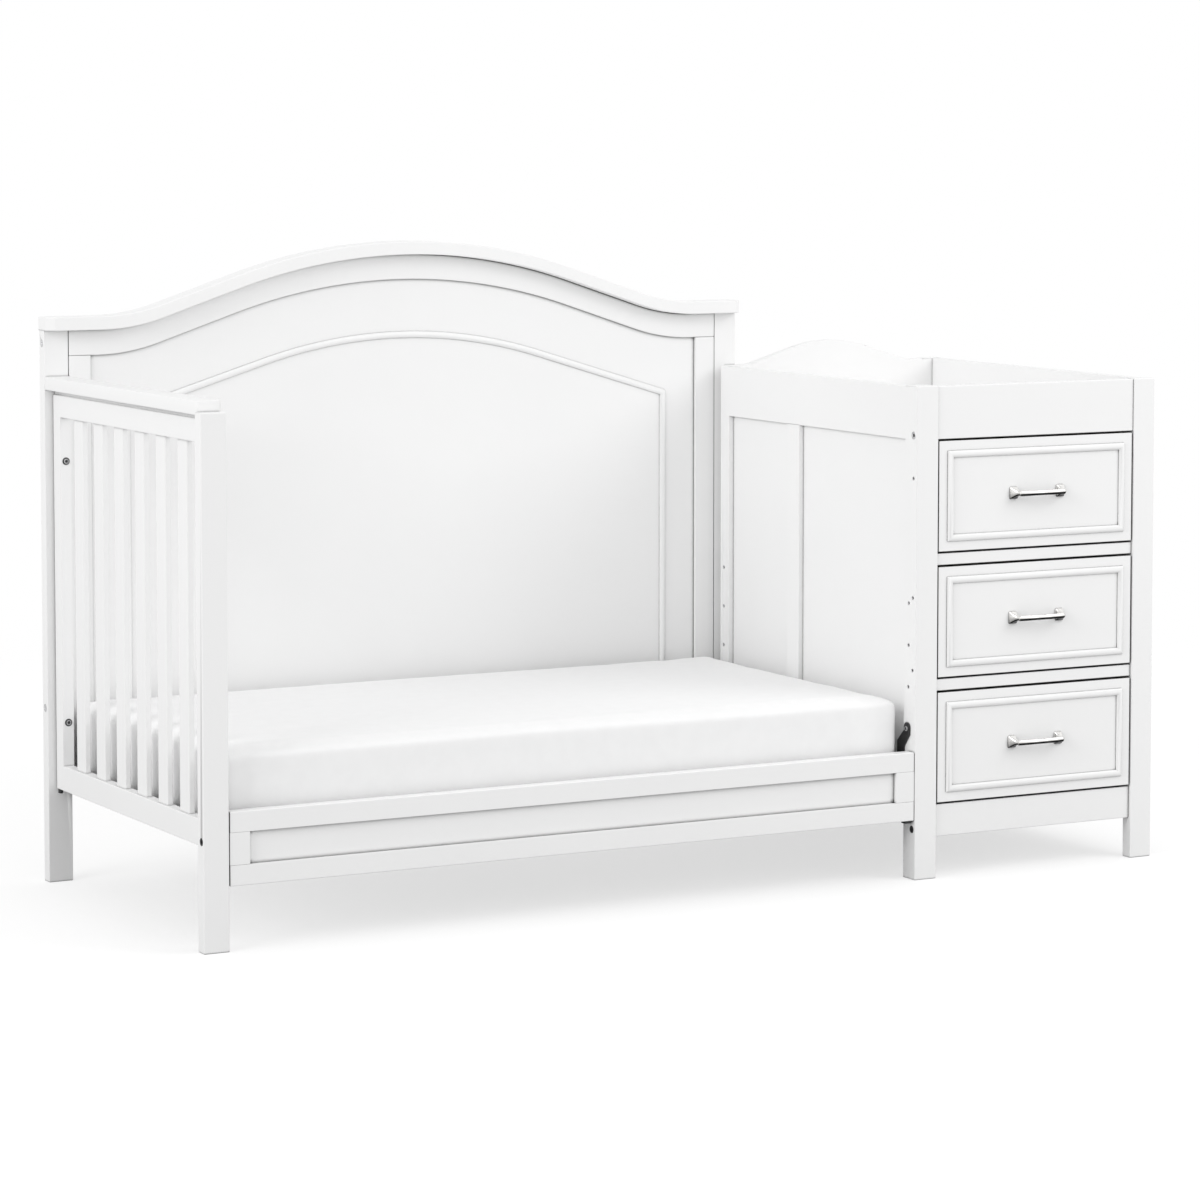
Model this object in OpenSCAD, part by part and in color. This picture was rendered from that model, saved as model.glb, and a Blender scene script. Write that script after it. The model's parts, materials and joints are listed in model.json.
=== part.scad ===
// Crib in its day-bed form with an attached changer and three drawers.
// Lengths are in millimetres. The plan is laid out from the left front corner of the bed's
// front leg: X to the right, Y to the back, Z up from the floor. placed() then moves the whole
// piece so that the origin is under the middle of its outline, on the floor.

/* [Bed] */
// Room between the end panel and the changer
room_l = 1324; // [1290:1:1400]
// Front of the legs to the front of the headboard
room_d = 709; // [700:1:760]
// Height of the legs
leg_h = 878; // [860:1:930]
// Width of the legs and posts
leg_w = 45; // [42:1:52]
// Front to back size of the bed's front leg
end_leg_d = 25; // [22:1:30]
// Gap between a rail frame and the post beside it
reveal = 2; // [1:0.5:3]
// Depth of the grooves that hold the panels
tongue = 8; // [5:0.5:9]
// Clearance round a panel in its groove
fit = 0.3; // [0.2:0.1:0.5]

/* [Headboard] */
// Top of the legs to the top of the posts, under the cap
head_above = 99.5; // [80:0.5:130]
// Rise of the arch from its ends to its peak
arch_rise = 122.5; // [110:0.5:130]
// Slope of the straight stretch of the arch, in degrees
arch_slope = 18.4; // [17.5:0.1:20]
// Radius of the hollow curve at each end of the arch
arch_foot_r = 370; // [250:5:400]
// Level stretch between that curve and the stile
arch_flat = 12.5; // [5:0.5:20]
// Thickness of the headboard's posts
post_d = 24; // [22:1:30]
// Set-in of the left post from the end of the cap
post_inset = 2; // [1:0.5:5]
// How far the right post stands into the bed past the changer
post_lap = 4; // [2:0.5:6]
// Thickness of the cap
cap_t = 24; // [20:1:30]
// Front to back size of the cap
cap_d = 50; // [46:1:60]
// Clipped front corner of the cap
cap_clip = 13; // [8:1:18]
// Thickness of the headboard's frame
head_frame_t = 22; // [18:1:22]
// Height of the arched rail
head_rail_h = 45.5; // [40:0.5:55]
// Width of the headboard's stiles
head_stile_w = 40; // [34:1:50]
// Underside of the bottom rail
head_bottom_z = 168; // [150:1:175]
// Height of the bottom rail
head_bottom_h = 72; // [60:1:90]
// Set-back of the headboard's panel from its frame
head_recess = 6; // [5:0.5:8]
// Thickness of the headboard's panel
head_panel_t = 8; // [6:0.5:10]
// Peak of the arched rail's lower edge to the peak of the bead's inner line
bead_drop = 108; // [95:1:120]
// Radius of the bead's crown
bead_r = 940; // [800:10:1100]
// Slope of the bead's straight stretch, in degrees
bead_slope = 17; // [15:0.5:18]
// Stile to the bead
bead_margin = 63; // [50:1:80]
// Width of the bead
bead_w = 12; // [8:1:16]
// Height of the bead off the panel
bead_t = 5; // [3:0.5:5]
// Bottom rail to the bead's inner line
bead_foot = 60; // [50:1:70]

/* [Left end] */
// Set-back of the end panel from the side of the leg
end_inset = 16; // [12:1:18]
// Thickness of the end panel
end_t = 20; // [18:1:22]
// Width of the front stile
end_front_w = 30; // [26:1:36]
// Width of the rear stile
end_rear_w = 39; // [34:1:44]
// Underside of the end's bottom rail
end_bottom_z = 168; // [160:1:176]
// Height of the end's bottom rail
end_bottom_h = 44; // [36:1:50]
// Height of the end's top rail
end_top_h = 38.5; // [34:0.5:45]
// Height of the dark groove under the arm cap
arm_groove = 8; // [5:0.5:10]
// Set-back of that groove from each face
arm_groove_d = 5; // [3:0.5:7]
// Thickness of the arm cap
arm_t = 23; // [20:1:28]
// Width of the arm cap
arm_w = 46; // [42:1:52]
// Top of the leg above the underside of the arm cap
arm_seat = 4.5; // [3:0.5:8]
// Number of slats
slat_n = 6; // [5:1:7]
// Width of a slat
slat_w = 40; // [34:1:46]
// Thickness of a slat
slat_t = 11; // [9:0.5:14]
// Shadow line between the rear stile and the post
post_line = 5; // [3:0.5:6]

/* [Day-bed rail] */
// Underside of the rail
rail_z = 107; // [100:1:115]
// Height of the rail
rail_h = 122; // [115:1:123]
// Width of its top and bottom rails
rail_band = 34; // [28:1:38]
// Width of its end stiles
rail_stile_w = 36; // [30:1:45]
// Thickness of the rail
rail_t = 22; // [20:1:24]
// Set-back of a front face from the front of the legs
face_inset = 2; // [1:0.5:4]
// Set-back of the rail's panel
rail_recess = 8; // [6:0.5:9]
// Thickness of the rail's panel
rail_panel_t = 6; // [5:0.5:8]

/* [Mattress] */
// Gap at each end of the mattress
mattress_gap_l = 8; // [6:0.5:15]
// Gap at the front and the back of the mattress
mattress_gap_w = 4.5; // [2:0.5:10]
// Thickness of the mattress with its crown
mattress_t = 137; // [100:1:140]
// Height of the crown
mattress_crown = 5; // [3:1:12]
// Width of the rounded edges
mattress_edge = 16; // [12:1:30]
// Radius of a corner, seen from above
mattress_corner = 18; // [14:1:40]

/* [Mattress support] */
// Top of the steel frame
support_z = 189; // [182:1:190]
// Leg of the steel angle
angle_w = 24; // [20:1:26]
// Thickness of the steel
steel_t = 3; // [2:0.5:3]
// Thickness of a spring wire
wire_t = 6; // [5:0.5:8]
// Wires that run along the bed
wires_long = 6; // [4:1:8]
// Wires that run across the bed
wires_cross = 9; // [6:1:12]
// Width of a bracket
bracket_w = 24; // [20:1:24]
// Back of the day-bed rail to the stem of the bracket beside it
bracket_space = 8; // [2:1:12]
// Top of the steel frame to the bolts of its brackets
bracket_rise = 80; // [74:1:84]
// Distance between the support's heights
height_step = 74.5; // [60:0.5:80]
// Number of spare heights
height_n = 3; // [1:1:4]

/* [Changer] */
// Width of the changer
changer_w = 511; // [480:1:560]
// Front to back size of its inner front leg
inner_leg_d = 38; // [36:1:44]
// Front to back size of its outer front leg
outer_leg_d = 23; // [22:1:30]
// Front to back size of its inner rear leg
rear_leg_d = 33; // [30:1:40]
// Space between the inner rear leg and the headboard's post
rear_gap = 17; // [12:1:22]
// Set-back of the spacer in that space
spacer_inset = 17; // [12:1:20]
// Thickness of the side frames
side_t = 21; // [20:1:23]
// Set-back of the side panels
side_recess = 10; // [8:0.5:10]
// Thickness of the side panels
side_panel_t = 6; // [5:0.5:8]
// Underside of the outer side frame and the apron
side_z = 74; // [60:1:80]
// Underside of the bed side
inner_side_z = 107; // [100:1:115]
// Height of the side frames' bottom rail
side_bottom_h = 86; // [70:1:100]
// Front edge of the centre stiles
centre_y = 402; // [390:1:410]
// Width of the centre stiles
centre_w = 43; // [36:1:50]
// Height of the apron
apron_h = 58; // [50:1:64]
// Set-back of the apron
apron_inset = 6; // [4:0.5:8]
// Thickness of the front's rails
front_rail_t = 20; // [18:1:21]
// Height of the top rails
top_rail_h = 94; // [80:1:110]
// Height of a divider between two drawers
divider_h = 21; // [18:1:26]
// Front to back size of a divider
divider_d = 40; // [30:1:60]
// Set-back of the dividers
divider_inset = 5; // [3:0.5:8]
// Drop from the top of the legs to the top of the changer's rails
top_step = 1; // [0:0.5:2]
// Thickness of the tray's deck
deck_t = 12; // [9:1:18]
// Rise of the camel-backed board
camel_rise = 42; // [36:1:50]
// Level stretch at each end of it
camel_flat = 27; // [20:1:35]
// Slope of its straight stretch, in degrees
camel_slope = 17; // [16:0.5:18]
// Radius of the hollow curve at each end of it
camel_foot_r = 40; // [20:5:60]
// Thickness of the boards at the back
back_board_t = 18; // [16:1:22]
// Thickness of the back panel
back_panel_t = 5; // [4:0.5:6]
// Thickness of the bottom panel
bottom_panel_t = 6; // [5:0.5:9]
// Bottom panel above the underside of the apron
bottom_panel_rise = 38; // [34:1:45]

/* [Drawers] */
// Gap above and below a drawer front
drawer_gap_z = 3.5; // [3:0.5:5]
// Gap at each side of a drawer
drawer_gap_x = 3; // [2.5:0.5:4]
// Thickness of a drawer front
front_t = 20; // [18:1:22]
// Length of a drawer's sides
box_d = 400; // [360:1:430]
// Drawer front's top edge to the top of the sides
box_drop = 33; // [20:1:60]
// Drawer front's bottom edge to the underside of the sides
box_rise = 12; // [8:1:16]
// Thickness of a drawer's sides and back
box_t = 12; // [11:0.5:15]
// Thickness of a drawer's bottom
tray_t = 5; // [4:0.5:6]
// Underside of the sides to the bottom
tray_rise = 8; // [6:1:12]
// Depth of the groove for the bottom
tray_tongue = 5; // [4:0.5:5]
// Height of a runner
runner_h = 12; // [10:0.5:14]
// Depth of the groove for a runner
runner_groove = 6; // [4:0.5:6]
// Underside of the sides to the middle of the runner
runner_rise = 70; // [60:1:80]
// Height of the cleat that carries a runner
cleat_h = 40; // [30:1:50]
// Edge of the drawer front to the moulding
moulding_inset = 17.5; // [14:0.5:22]
// Width of the moulding
moulding_w = 15; // [10:1:20]
// Height of the moulding off the front
moulding_t = 6; // [4:0.5:8]

/* [Handles] */
// Distance between the screws
handle_pitch = 100; // [76:1:128]
// Reach from the drawer front
handle_reach = 29; // [25:0.5:34]
// Width of a foot
foot_w = 19; // [16:0.5:22]
// Height of a foot
foot_h = 25; // [20:0.5:28]
// Thickness of a foot's plate
foot_plate = 3; // [2:0.5:5]
// Width and height of the neck between a foot and the bar
neck_w = 9; // [7:0.5:11]
// Thickness of the bar
bar_t = 7; // [5:0.5:8]
// Height of the bar
bar_h = 10; // [8:0.5:12]
// Bow of the bar
bar_bow = 4; // [2:0.5:6]
// Bar past the middle of each foot
bar_end = 2; // [1:0.5:6]
// Radius of a handle screw
screw_r = 2; // [1.5:0.25:2.5]

/* [Bolts] */
// Radius of a bolt's shank
bolt_r = 3; // [2.5:0.25:3.5]
// Radius of a bolt's head
head_r = 6.5; // [6:0.25:7.5]
// Thickness of a bolt's head
head_t = 2.5; // [2:0.25:2.5]
// How far a bolt runs into the second piece
bolt_bite = 14; // [10:1:16]
// Bolts of the day-bed rail behind the front of the legs
rail_bolt_y = 9; // [8:0.5:12]
// Those bolts below the rail's top band
rail_bolt_drop = 12; // [8:1:20]
// Bolts of a post from the bottom rail
post_bolt_rise = 70; // [50:1:90]
// Bolts of the end stiles from the end's rails
end_bolt_inset = 77; // [60:1:90]
// Bolts in the changer's bed side behind the front of the legs
inner_bolt_y = 11; // [10:0.5:14]
// The upper one above the underside of the top rail
inner_bolt_rise = 8; // [7:0.5:20]
// The lower one above the underside of the apron
apron_bolt_rise = 16; // [10:1:30]
// Bolts of the spacer from the top and bottom rails
spacer_bolt_inset = 120; // [80:5:200]
// Top of the legs to the first spare rail hole
spare_drop = 163; // [150:1:180]
// First to second spare rail hole
spare_step_a = 212; // [190:1:230]
// Second to third spare rail hole
spare_step_b = 129; // [110:1:150]
// Depth of a spare hole
spare_depth = 12; // [8:1:15]
// Radius of a spare hole
spare_r = 3.5; // [3:0.25:4.5]

/* [Hidden] */
$fn = 48;

// Cuts run this far past the faces they open
over = 1;

// Colours
white_paint = [0.95, 0.95, 0.94];
white_cloth = [0.97, 0.97, 0.97];
bare_wood = [0.86, 0.82, 0.74];
black_steel = [0.06, 0.06, 0.06];
nickel = [0.72, 0.71, 0.69];

// Plan of the bed
end_x = [end_inset, end_inset + end_t];
changer_x = end_x[1] + room_l;
changer_end = changer_x + changer_w;
back_y = room_d + post_d;
front_y = face_inset - handle_reach;
rail_y = [face_inset, face_inset + rail_t];

// Headboard
head_end_h = leg_h + head_above;
left_post_x = [post_inset, post_inset + leg_w];
right_post_x = [changer_x - post_lap, changer_x - post_lap + leg_w];
post_y = [room_d, back_y];
head_x = (left_post_x[0] + right_post_x[1]) / 2;
head_half = head_x - left_post_x[0] + post_inset;
frame_half = head_x - left_post_x[1] - reveal;
field_half = frame_half - head_stile_w;
head_frame_y = [room_d, room_d + head_frame_t];
head_panel_y = [room_d + head_recess, room_d + head_recess + head_panel_t];
head_bottom_top = head_bottom_z + head_bottom_h;
bead_bottom_z = head_bottom_top + bead_foot;
head_rail_end = head_end_h - head_rail_h;
arch = [field_half - arch_flat, arch_rise, arch_slope, arch_foot_r];
cap_low_peak = head_end_h + arch_rise;
rail_low_peak = cap_low_peak - head_rail_h;
bead_half = field_half - bead_margin;
bead_peak = rail_low_peak - bead_drop;
post_bolt_y = room_d + head_frame_t / 2;
post_bolt_z = [head_end_h - head_rail_h / 2, head_bottom_top + post_bolt_rise];

// Left end
arm_z = leg_h - arm_seat;
arm_x = [end_inset + end_t / 2 - arm_w / 2, end_inset + end_t / 2 + arm_w / 2];
end_top_z = [arm_z - arm_groove - end_top_h, arm_z - arm_groove];
end_bottom_zz = [end_bottom_z, end_bottom_z + end_bottom_h];
end_front_y = [end_leg_d, end_leg_d + end_front_w];
end_rear_y = [room_d - end_rear_w, room_d];
slat_gap = (end_rear_y[0] - end_front_y[1] - slat_n * slat_w) / (slat_n + 1);
slat_x = end_inset + end_t / 2;
end_bolt_z = [end_top_z[0] - end_bolt_inset, end_bottom_zz[1] + end_bolt_inset];

// Day-bed rail
rail_x = [leg_w + reveal, changer_x - reveal];
rail_in_x = [rail_x[0] + rail_stile_w, rail_x[1] - rail_stile_w];
rail_in_z = [rail_z + rail_band, rail_z + rail_h - rail_band];
rail_panel_y = [face_inset + rail_recess, face_inset + rail_recess + rail_panel_t];
rail_bolt_z = rail_in_z[1] - rail_bolt_drop;

// Mattress and its support
mattress_l = room_l - 2 * mattress_gap_l;
mattress_w = room_d - rail_y[1] - 2 * mattress_gap_w;
mattress_x = (end_x[1] + changer_x) / 2;
mattress_y = (rail_y[1] + room_d) / 2;
mattress_z = support_z + fit;
mattress_side = mattress_t - mattress_crown;
corner_least = mattress_corner / 8;
edge_steps = 5;
crown_steps = 5;
corner_n = 6;
edge_l = 9;
edge_w = 5;
support_x = [end_x[1] + steel_t, changer_x - steel_t];
support_y = [max(rail_y[1], end_leg_d) + fit, room_d - fit];
support_low = support_z - angle_w;
bracket_bolt_z = support_z + bracket_rise;
bracket_top = bracket_bolt_z + bracket_w / 2;
bracket_tab_z = rail_z + rail_h + steel_t;
front_bracket_y = rail_y[1] + bracket_space + bracket_w / 2;
end_bracket_y = [end_front_y[0] + end_front_w / 2, end_rear_y[0] + end_rear_w / 2 - post_line];
changer_bracket_y = [inner_leg_d - bracket_w / 2 - reveal, room_d - rear_gap - bracket_w / 2 - reveal];
heights = [for (i = [1 : height_n]) bracket_bolt_z + i * height_step];

// Changer
inner_leg_x = [changer_x, changer_x + leg_w];
outer_leg_x = [changer_end - leg_w, changer_end];
opening_x = [inner_leg_x[1], outer_leg_x[0]];
inner_side_x = [changer_x, changer_x + side_t];
outer_side_x = [changer_end - side_t, changer_end];
inner_leg_y = [0, inner_leg_d];
outer_leg_y = [0, outer_leg_d];
rear_leg_y = [room_d - rear_gap - rear_leg_d, room_d - rear_gap];
inner_panel_x = [changer_x + side_recess, changer_x + side_recess + side_panel_t];
outer_panel_x = [changer_end - side_recess - side_panel_t, changer_end - side_recess];
apron_z = [side_z, side_z + apron_h];
top_rail_z = [leg_h - top_step - top_rail_h, leg_h - top_step];
opening_h = (top_rail_z[0] - apron_z[1] - 2 * divider_h) / 3;
side_bottom_zz = [side_z, side_z + side_bottom_h];
inner_bottom_zz = [inner_side_z, side_bottom_zz[1]];
side_field_z = [side_bottom_zz[1], top_rail_z[0]];
front_field_y = [inner_leg_d, centre_y];
rear_field_y = [centre_y + centre_w, rear_leg_y[0]];
outer_front_field_y = [outer_leg_d, centre_y];
outer_rear_field_y = [centre_y + centre_w, room_d];
front_rail_y = [face_inset + 1, face_inset + 1 + front_rail_t];
camel_x = [right_post_x[1] + fit, outer_leg_x[0]];
camel_mid = (camel_x[0] + camel_x[1]) / 2;
camel_half = (camel_x[1] - camel_x[0]) / 2;
camel = [camel_half - camel_flat, camel_rise, camel_slope, camel_foot_r];
back_board_y = [room_d, room_d + back_board_t];
back_panel_y = [room_d - back_panel_t, room_d];
bottom_panel_z = [side_z + bottom_panel_rise, side_z + bottom_panel_rise + bottom_panel_t];
inner_bolt_z = [top_rail_z[0] + inner_bolt_rise, apron_z[0] + apron_bolt_rise];
spare_top_z = leg_h - spare_drop;
spare_z = [spare_top_z, spare_top_z - spare_step_a, spare_top_z - spare_step_a - spare_step_b];
spacer_bolt_x = (changer_x + spacer_inset + right_post_x[1]) / 2;
spacer_bolt_z = [side_bottom_zz[1] + spacer_bolt_inset, top_rail_z[0] - spacer_bolt_inset];

// Drawers, counted from the top
box_x = [opening_x[0] + drawer_gap_x, opening_x[1] - drawer_gap_x];
box_in_x = [box_x[0] + box_t, box_x[1] - box_t];
front_face_y = [face_inset, face_inset + front_t];
box_y = [front_face_y[1], front_face_y[1] + box_d];
front_h = opening_h - 2 * drawer_gap_z;
box_h = front_h - box_rise - box_drop;
runner_reach = drawer_gap_x + runner_groove - fit;
runner_y = [front_face_y[1] + 2, centre_y + centre_w];
handle_x = (box_x[0] + box_x[1]) / 2;

function opening_z(n) = apron_z[1] + (3 - n) * (opening_h + divider_h);
function front_z(n) = opening_z(n) + drawer_gap_z;
function box_z(n) = front_z(n) + box_rise;
function runner_z(n) = box_z(n) + runner_rise;
function runner_zz(n) = [runner_z(n) - runner_h / 2, runner_z(n) + runner_h / 2];
function tray_z(n) = box_z(n) + tray_rise;

// ---- Shared shapes ----

// Moves the plan's corner so that the origin lies under the middle of the piece
module placed() translate([-changer_end / 2, -(front_y + back_y) / 2, 0]) children();

// A board that fills x[0]..x[1], y[0]..y[1], z[0]..z[1]
module board(x, y, z) translate([x[0], y[0], z[0]]) cube([x[1] - x[0], y[1] - y[0], z[1] - z[0]]);

// A range that is longer by g at both ends
function grown(r, g) = [r[0] - g, r[1] + g];

// A rod or hole along X or Y
module rod_x(x, y, z, r) translate([x[0], y, z]) rotate([0, 90, 0]) cylinder(h = x[1] - x[0], r = r);
module rod_y(x, y, z, r) translate([x, y[1], z]) rotate([90, 0, 0]) cylinder(h = y[1] - y[0], r = r);

// A flat outline in X and Z, stood up between two depths
module upright(x, y) translate([x, y[1], 0]) rotate([90, 0, 0]) linear_extrude(y[1] - y[0]) children();

// Panel in its groove: the groove is fit larger all round than the panel's edge
module side_panel(x, y, z) board(x, grown(y, tongue - fit), grown(z, tongue - fit));
module side_groove(x, y, z) board(grown(x, fit), grown(y, tongue), grown(z, tongue));

// Right half of an arch from its peak: crown arc, straight slope, hollow arc, level end.
// a = [half span, rise, slope, foot radius]; the crown's radius follows from these.
function crown_r(a) = (a[0] * sin(a[2]) - a[1] * cos(a[2])) / (1 - cos(a[2])) - a[3];
function arch_half(a, half) = concat(
    [for (i = [1 : 14]) let (t = a[2] * i / 14) [crown_r(a) * sin(t), crown_r(a) * (cos(t) - 1)]],
    [for (i = [0 : 7]) let (t = a[2] * (1 - i / 8)) [a[0] - a[3] * sin(t), a[3] * (1 - cos(t)) - a[1]]],
    [[a[0], -a[1]], [half, -a[1]]]
);
function mirrored(line) = [for (i = [len(line) - 1 : -1 : 0]) [-line[i][0], line[i][1]]];
function lifted(line, z) = [for (p = line) [p[0], p[1] + z]];
function reversed(line) = [for (i = [len(line) - 1 : -1 : 0]) line[i]];
function arch_line(a, half, peak) = let (h = arch_half(a, half))
    lifted(concat(mirrored(h), [[0, 0]], h), peak);
module arch_band(a, half, peak, h)
    polygon(concat(arch_line(a, half, peak), reversed(arch_line(a, half, peak - h))));
module arch_field(a, half, peak, low)
    polygon(concat(arch_line(a, half, peak), [[half, low], [-half, low]]));

// ---- Headboard ----

module post(x) {
    board(x, post_y, [0, head_end_h]);
}

// Bolts through a post into the arched rail and the stile
module post_holes(face, way) {
    for (z = post_bolt_z) bolt_hole_x(face, way, post_bolt_y, z, leg_w + reveal);
}

module headboard_left_post() color(white_paint) placed() difference() {
    post(left_post_x);
    post_holes(left_post_x[0], 1);
    for (z = end_bolt_z) bolt_hole_y(end_rear_y[0], 1, slat_x, z, end_rear_w);
}

module headboard_right_post() color(white_paint) placed() difference() {
    post(right_post_x);
    post_holes(right_post_x[1], -1);
    for (z = spacer_bolt_z) bolt_hole_y(rear_leg_y[0], 1, spacer_bolt_x, z, rear_leg_d + rear_gap);
}

module headboard_cap() color(white_paint) placed() difference() {
    upright(head_x, [back_y - cap_d, back_y]) arch_band(arch, head_half, cap_low_peak + cap_t, cap_t);
    for (s = [-1, 1]) translate([head_x + s * head_half, back_y - cap_d, head_end_h - over])
        rotate([0, 0, 45]) linear_extrude(cap_t + 2 * over) square(cap_clip * sqrt(2), center = true);
}

// The headboard's field, grown by g into its grooves
module head_field(g, y) upright(head_x, y)
    arch_field(arch, field_half + g, rail_low_peak + g, head_bottom_top - g);
module head_groove() head_field(tongue, grown(head_panel_y, fit));

module headboard_arch_rail() color(white_paint) placed() difference() {
    upright(head_x, head_frame_y) arch_band(arch, frame_half, cap_low_peak, head_rail_h);
    head_groove();
    post_holes(left_post_x[0], 1);
    post_holes(right_post_x[1], -1);
}

module headboard_stiles() color(white_paint) placed() difference() {
    for (s = [-1, 1]) translate([head_x + s * (frame_half + field_half) / 2, 0, 0])
        board([-head_stile_w / 2, head_stile_w / 2], head_frame_y, [head_bottom_z, head_rail_end]);
    head_groove();
    post_holes(left_post_x[0], 1);
    post_holes(right_post_x[1], -1);
}

module headboard_bottom_rail() color(white_paint) placed() difference() {
    board([head_x - field_half, head_x + field_half], head_frame_y, [head_bottom_z, head_bottom_top]);
    head_groove();
}

module headboard_panel() color(white_paint) placed() head_field(tongue - fit, head_panel_y);

// Line of the bead: crown arc, straight slope, upright side
function bead_half_line(r, half) = concat(
    [for (i = [1 : 12]) let (t = bead_slope * i / 12) [r * sin(t), r * (cos(t) - 1)]],
    [[half, r * (cos(bead_slope) - 1) - (half - r * sin(bead_slope)) * tan(bead_slope)]]
);
module bead_shape(r, half, peak, low) polygon(concat(
    lifted(concat(mirrored(bead_half_line(r, half)), [[0, 0]], bead_half_line(r, half)), peak),
    [[half, low], [-half, low]]
));

module headboard_bead() color(white_paint) placed()
    upright(head_x, [head_panel_y[0] - bead_t, head_panel_y[0]]) difference() {
        bead_shape(bead_r + bead_w, bead_half, bead_peak + bead_w, bead_bottom_z - bead_w);
        bead_shape(bead_r, bead_half - bead_w, bead_peak, bead_bottom_z);
    }

// ---- Left end ----

module end_front_leg() color(white_paint) placed() difference() {
    board([0, leg_w], [0, end_leg_d], [0, leg_h]);
    bolt_hole_x(0, 1, rail_bolt_y, rail_bolt_z, leg_w + reveal);
    for (z = end_bolt_z) bolt_hole_y(end_front_y[1], -1, slat_x, z, end_front_w);
}

module end_arm_cap() color(white_paint) placed() board(arm_x, [end_leg_d, room_d], [arm_z, arm_z + arm_t]);

// The rail, with a narrower tongue that meets the arm cap and leaves the dark groove
module end_top_rail() color(white_paint) placed() {
    board(end_x, [end_front_y[1], end_rear_y[0]], end_top_z);
    board(grown(end_x, -arm_groove_d), [end_leg_d, room_d], [end_top_z[1], arm_z]);
}

module end_stiles() color(white_paint) placed() difference() {
    for (y = [end_front_y, end_rear_y]) board(end_x, y, [end_bottom_z, end_top_z[1]]);
    board([0, end_x[0] + post_line], [room_d - post_line, room_d + over], [0, leg_h]);
    for (z = end_bolt_z) bolt_hole_y(end_front_y[1], -1, slat_x, z, end_front_w);
    for (z = end_bolt_z) bolt_hole_y(end_rear_y[0], 1, slat_x, z, end_rear_w);
    for (y = end_bracket_y) height_holes(end_x[1], -1, y);
}

module end_slats() color(white_paint) placed()
    for (i = [0 : slat_n - 1]) translate([slat_x, end_front_y[1] + slat_gap + i * (slat_w + slat_gap), 0])
        board([-slat_t / 2, slat_t / 2], [0, slat_w], [end_bottom_zz[1], end_top_z[0]]);

module end_bottom_rail() color(white_paint) placed()
    board(end_x, [end_front_y[1], end_rear_y[0]], end_bottom_zz);

// ---- Day-bed rail ----

module rail_groove() board(grown(rail_in_x, tongue), grown(rail_panel_y, fit), grown(rail_in_z, tongue));

module daybed_top_rail() color(white_paint) placed() difference() {
    board(rail_x, rail_y, [rail_in_z[1], rail_z + rail_h]);
    rail_groove();
}

module daybed_bottom_rail() color(white_paint) placed() difference() {
    board(rail_x, rail_y, [rail_z, rail_in_z[0]]);
    rail_groove();
}

module daybed_stiles() color(white_paint) placed() difference() {
    for (x = [[rail_x[0], rail_in_x[0]], [rail_in_x[1], rail_x[1]]]) board(x, rail_y, rail_in_z);
    rail_groove();
    bolt_hole_x(0, 1, rail_bolt_y, rail_bolt_z, leg_w + reveal);
    bolt_hole_x(inner_leg_x[1], -1, rail_bolt_y, rail_bolt_z, leg_w + reveal);
}

module daybed_panel() color(white_paint) placed()
    board(grown(rail_in_x, tongue - fit), rail_panel_y, grown(rail_in_z, tongue - fit));

// ---- Mattress and its support ----

// Rings of a rounded rectangle from the flat underside, round the lower edge, up the drawn-in
// side, round the upper edge and in to the crown. Each ring is [inset, height].
edge_arc = [for (i = [0 : edge_steps]) let (t = 90 * i / edge_steps)
    mattress_edge * [1 - sin(t), 1 - cos(t)]];
mattress_rings = concat(
    edge_arc,
    [[mattress_gap_w / 2, mattress_side / 2]],
    [for (i = [edge_steps : -1 : 0]) [edge_arc[i][0], mattress_side - edge_arc[i][1]]],
    [for (i = [1 : crown_steps]) let (k = i / (crown_steps + 0.5))
        [mattress_edge + (mattress_w / 2 - mattress_edge) * k, mattress_side + mattress_crown * k * (2 - k)]]
);
function corner_points(sx, sy, d, from) = let (
    r = max(mattress_corner - d, corner_least),
    cx = mattress_l / 2 - d - r,
    cy = mattress_w / 2 - d - r
) [for (i = [0 : corner_n]) let (t = from + 90 * i / corner_n)
    [sx * cx + r * cos(t), sy * cy + r * sin(t)]];
function between(a, b, n) = [for (i = [1 : n - 1]) a + (b - a) * i / n];
function ring_points(d) = let (
    c1 = corner_points(1, 1, d, 0),
    c2 = corner_points(-1, 1, d, 90),
    c3 = corner_points(-1, -1, d, 180),
    c4 = corner_points(1, -1, d, 270)
) concat(
    c1, between(c1[corner_n], c2[0], edge_l),
    c2, between(c2[corner_n], c3[0], edge_w),
    c3, between(c3[corner_n], c4[0], edge_l),
    c4, between(c4[corner_n], c1[0], edge_w)
);
ring_n = 4 * (corner_n + 1) + 2 * (edge_l - 1) + 2 * (edge_w - 1);

module mattress() {
    rings = len(mattress_rings);
    points = concat(
        [for (ring = mattress_rings) for (p = ring_points(ring[0])) [p[0], p[1], ring[1]]],
        [[0, 0, 0], [0, 0, mattress_t]]
    );
    faces = concat(
        [for (k = [0 : rings - 2]) for (i = [0 : ring_n - 1]) let (j = (i + 1) % ring_n)
            [k * ring_n + i, (k + 1) * ring_n + i, (k + 1) * ring_n + j]],
        [for (k = [0 : rings - 2]) for (i = [0 : ring_n - 1]) let (j = (i + 1) % ring_n)
            [k * ring_n + i, (k + 1) * ring_n + j, k * ring_n + j]],
        [for (i = [0 : ring_n - 1]) [rings * ring_n, i, (i + 1) % ring_n]],
        [for (i = [0 : ring_n - 1])
            [rings * ring_n + 1, (rings - 1) * ring_n + (i + 1) % ring_n, (rings - 1) * ring_n + i]]
    );
    color(white_cloth) placed() translate([mattress_x, mattress_y, mattress_z])
        polyhedron(points = points, faces = faces, convexity = 4);
}

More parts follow.
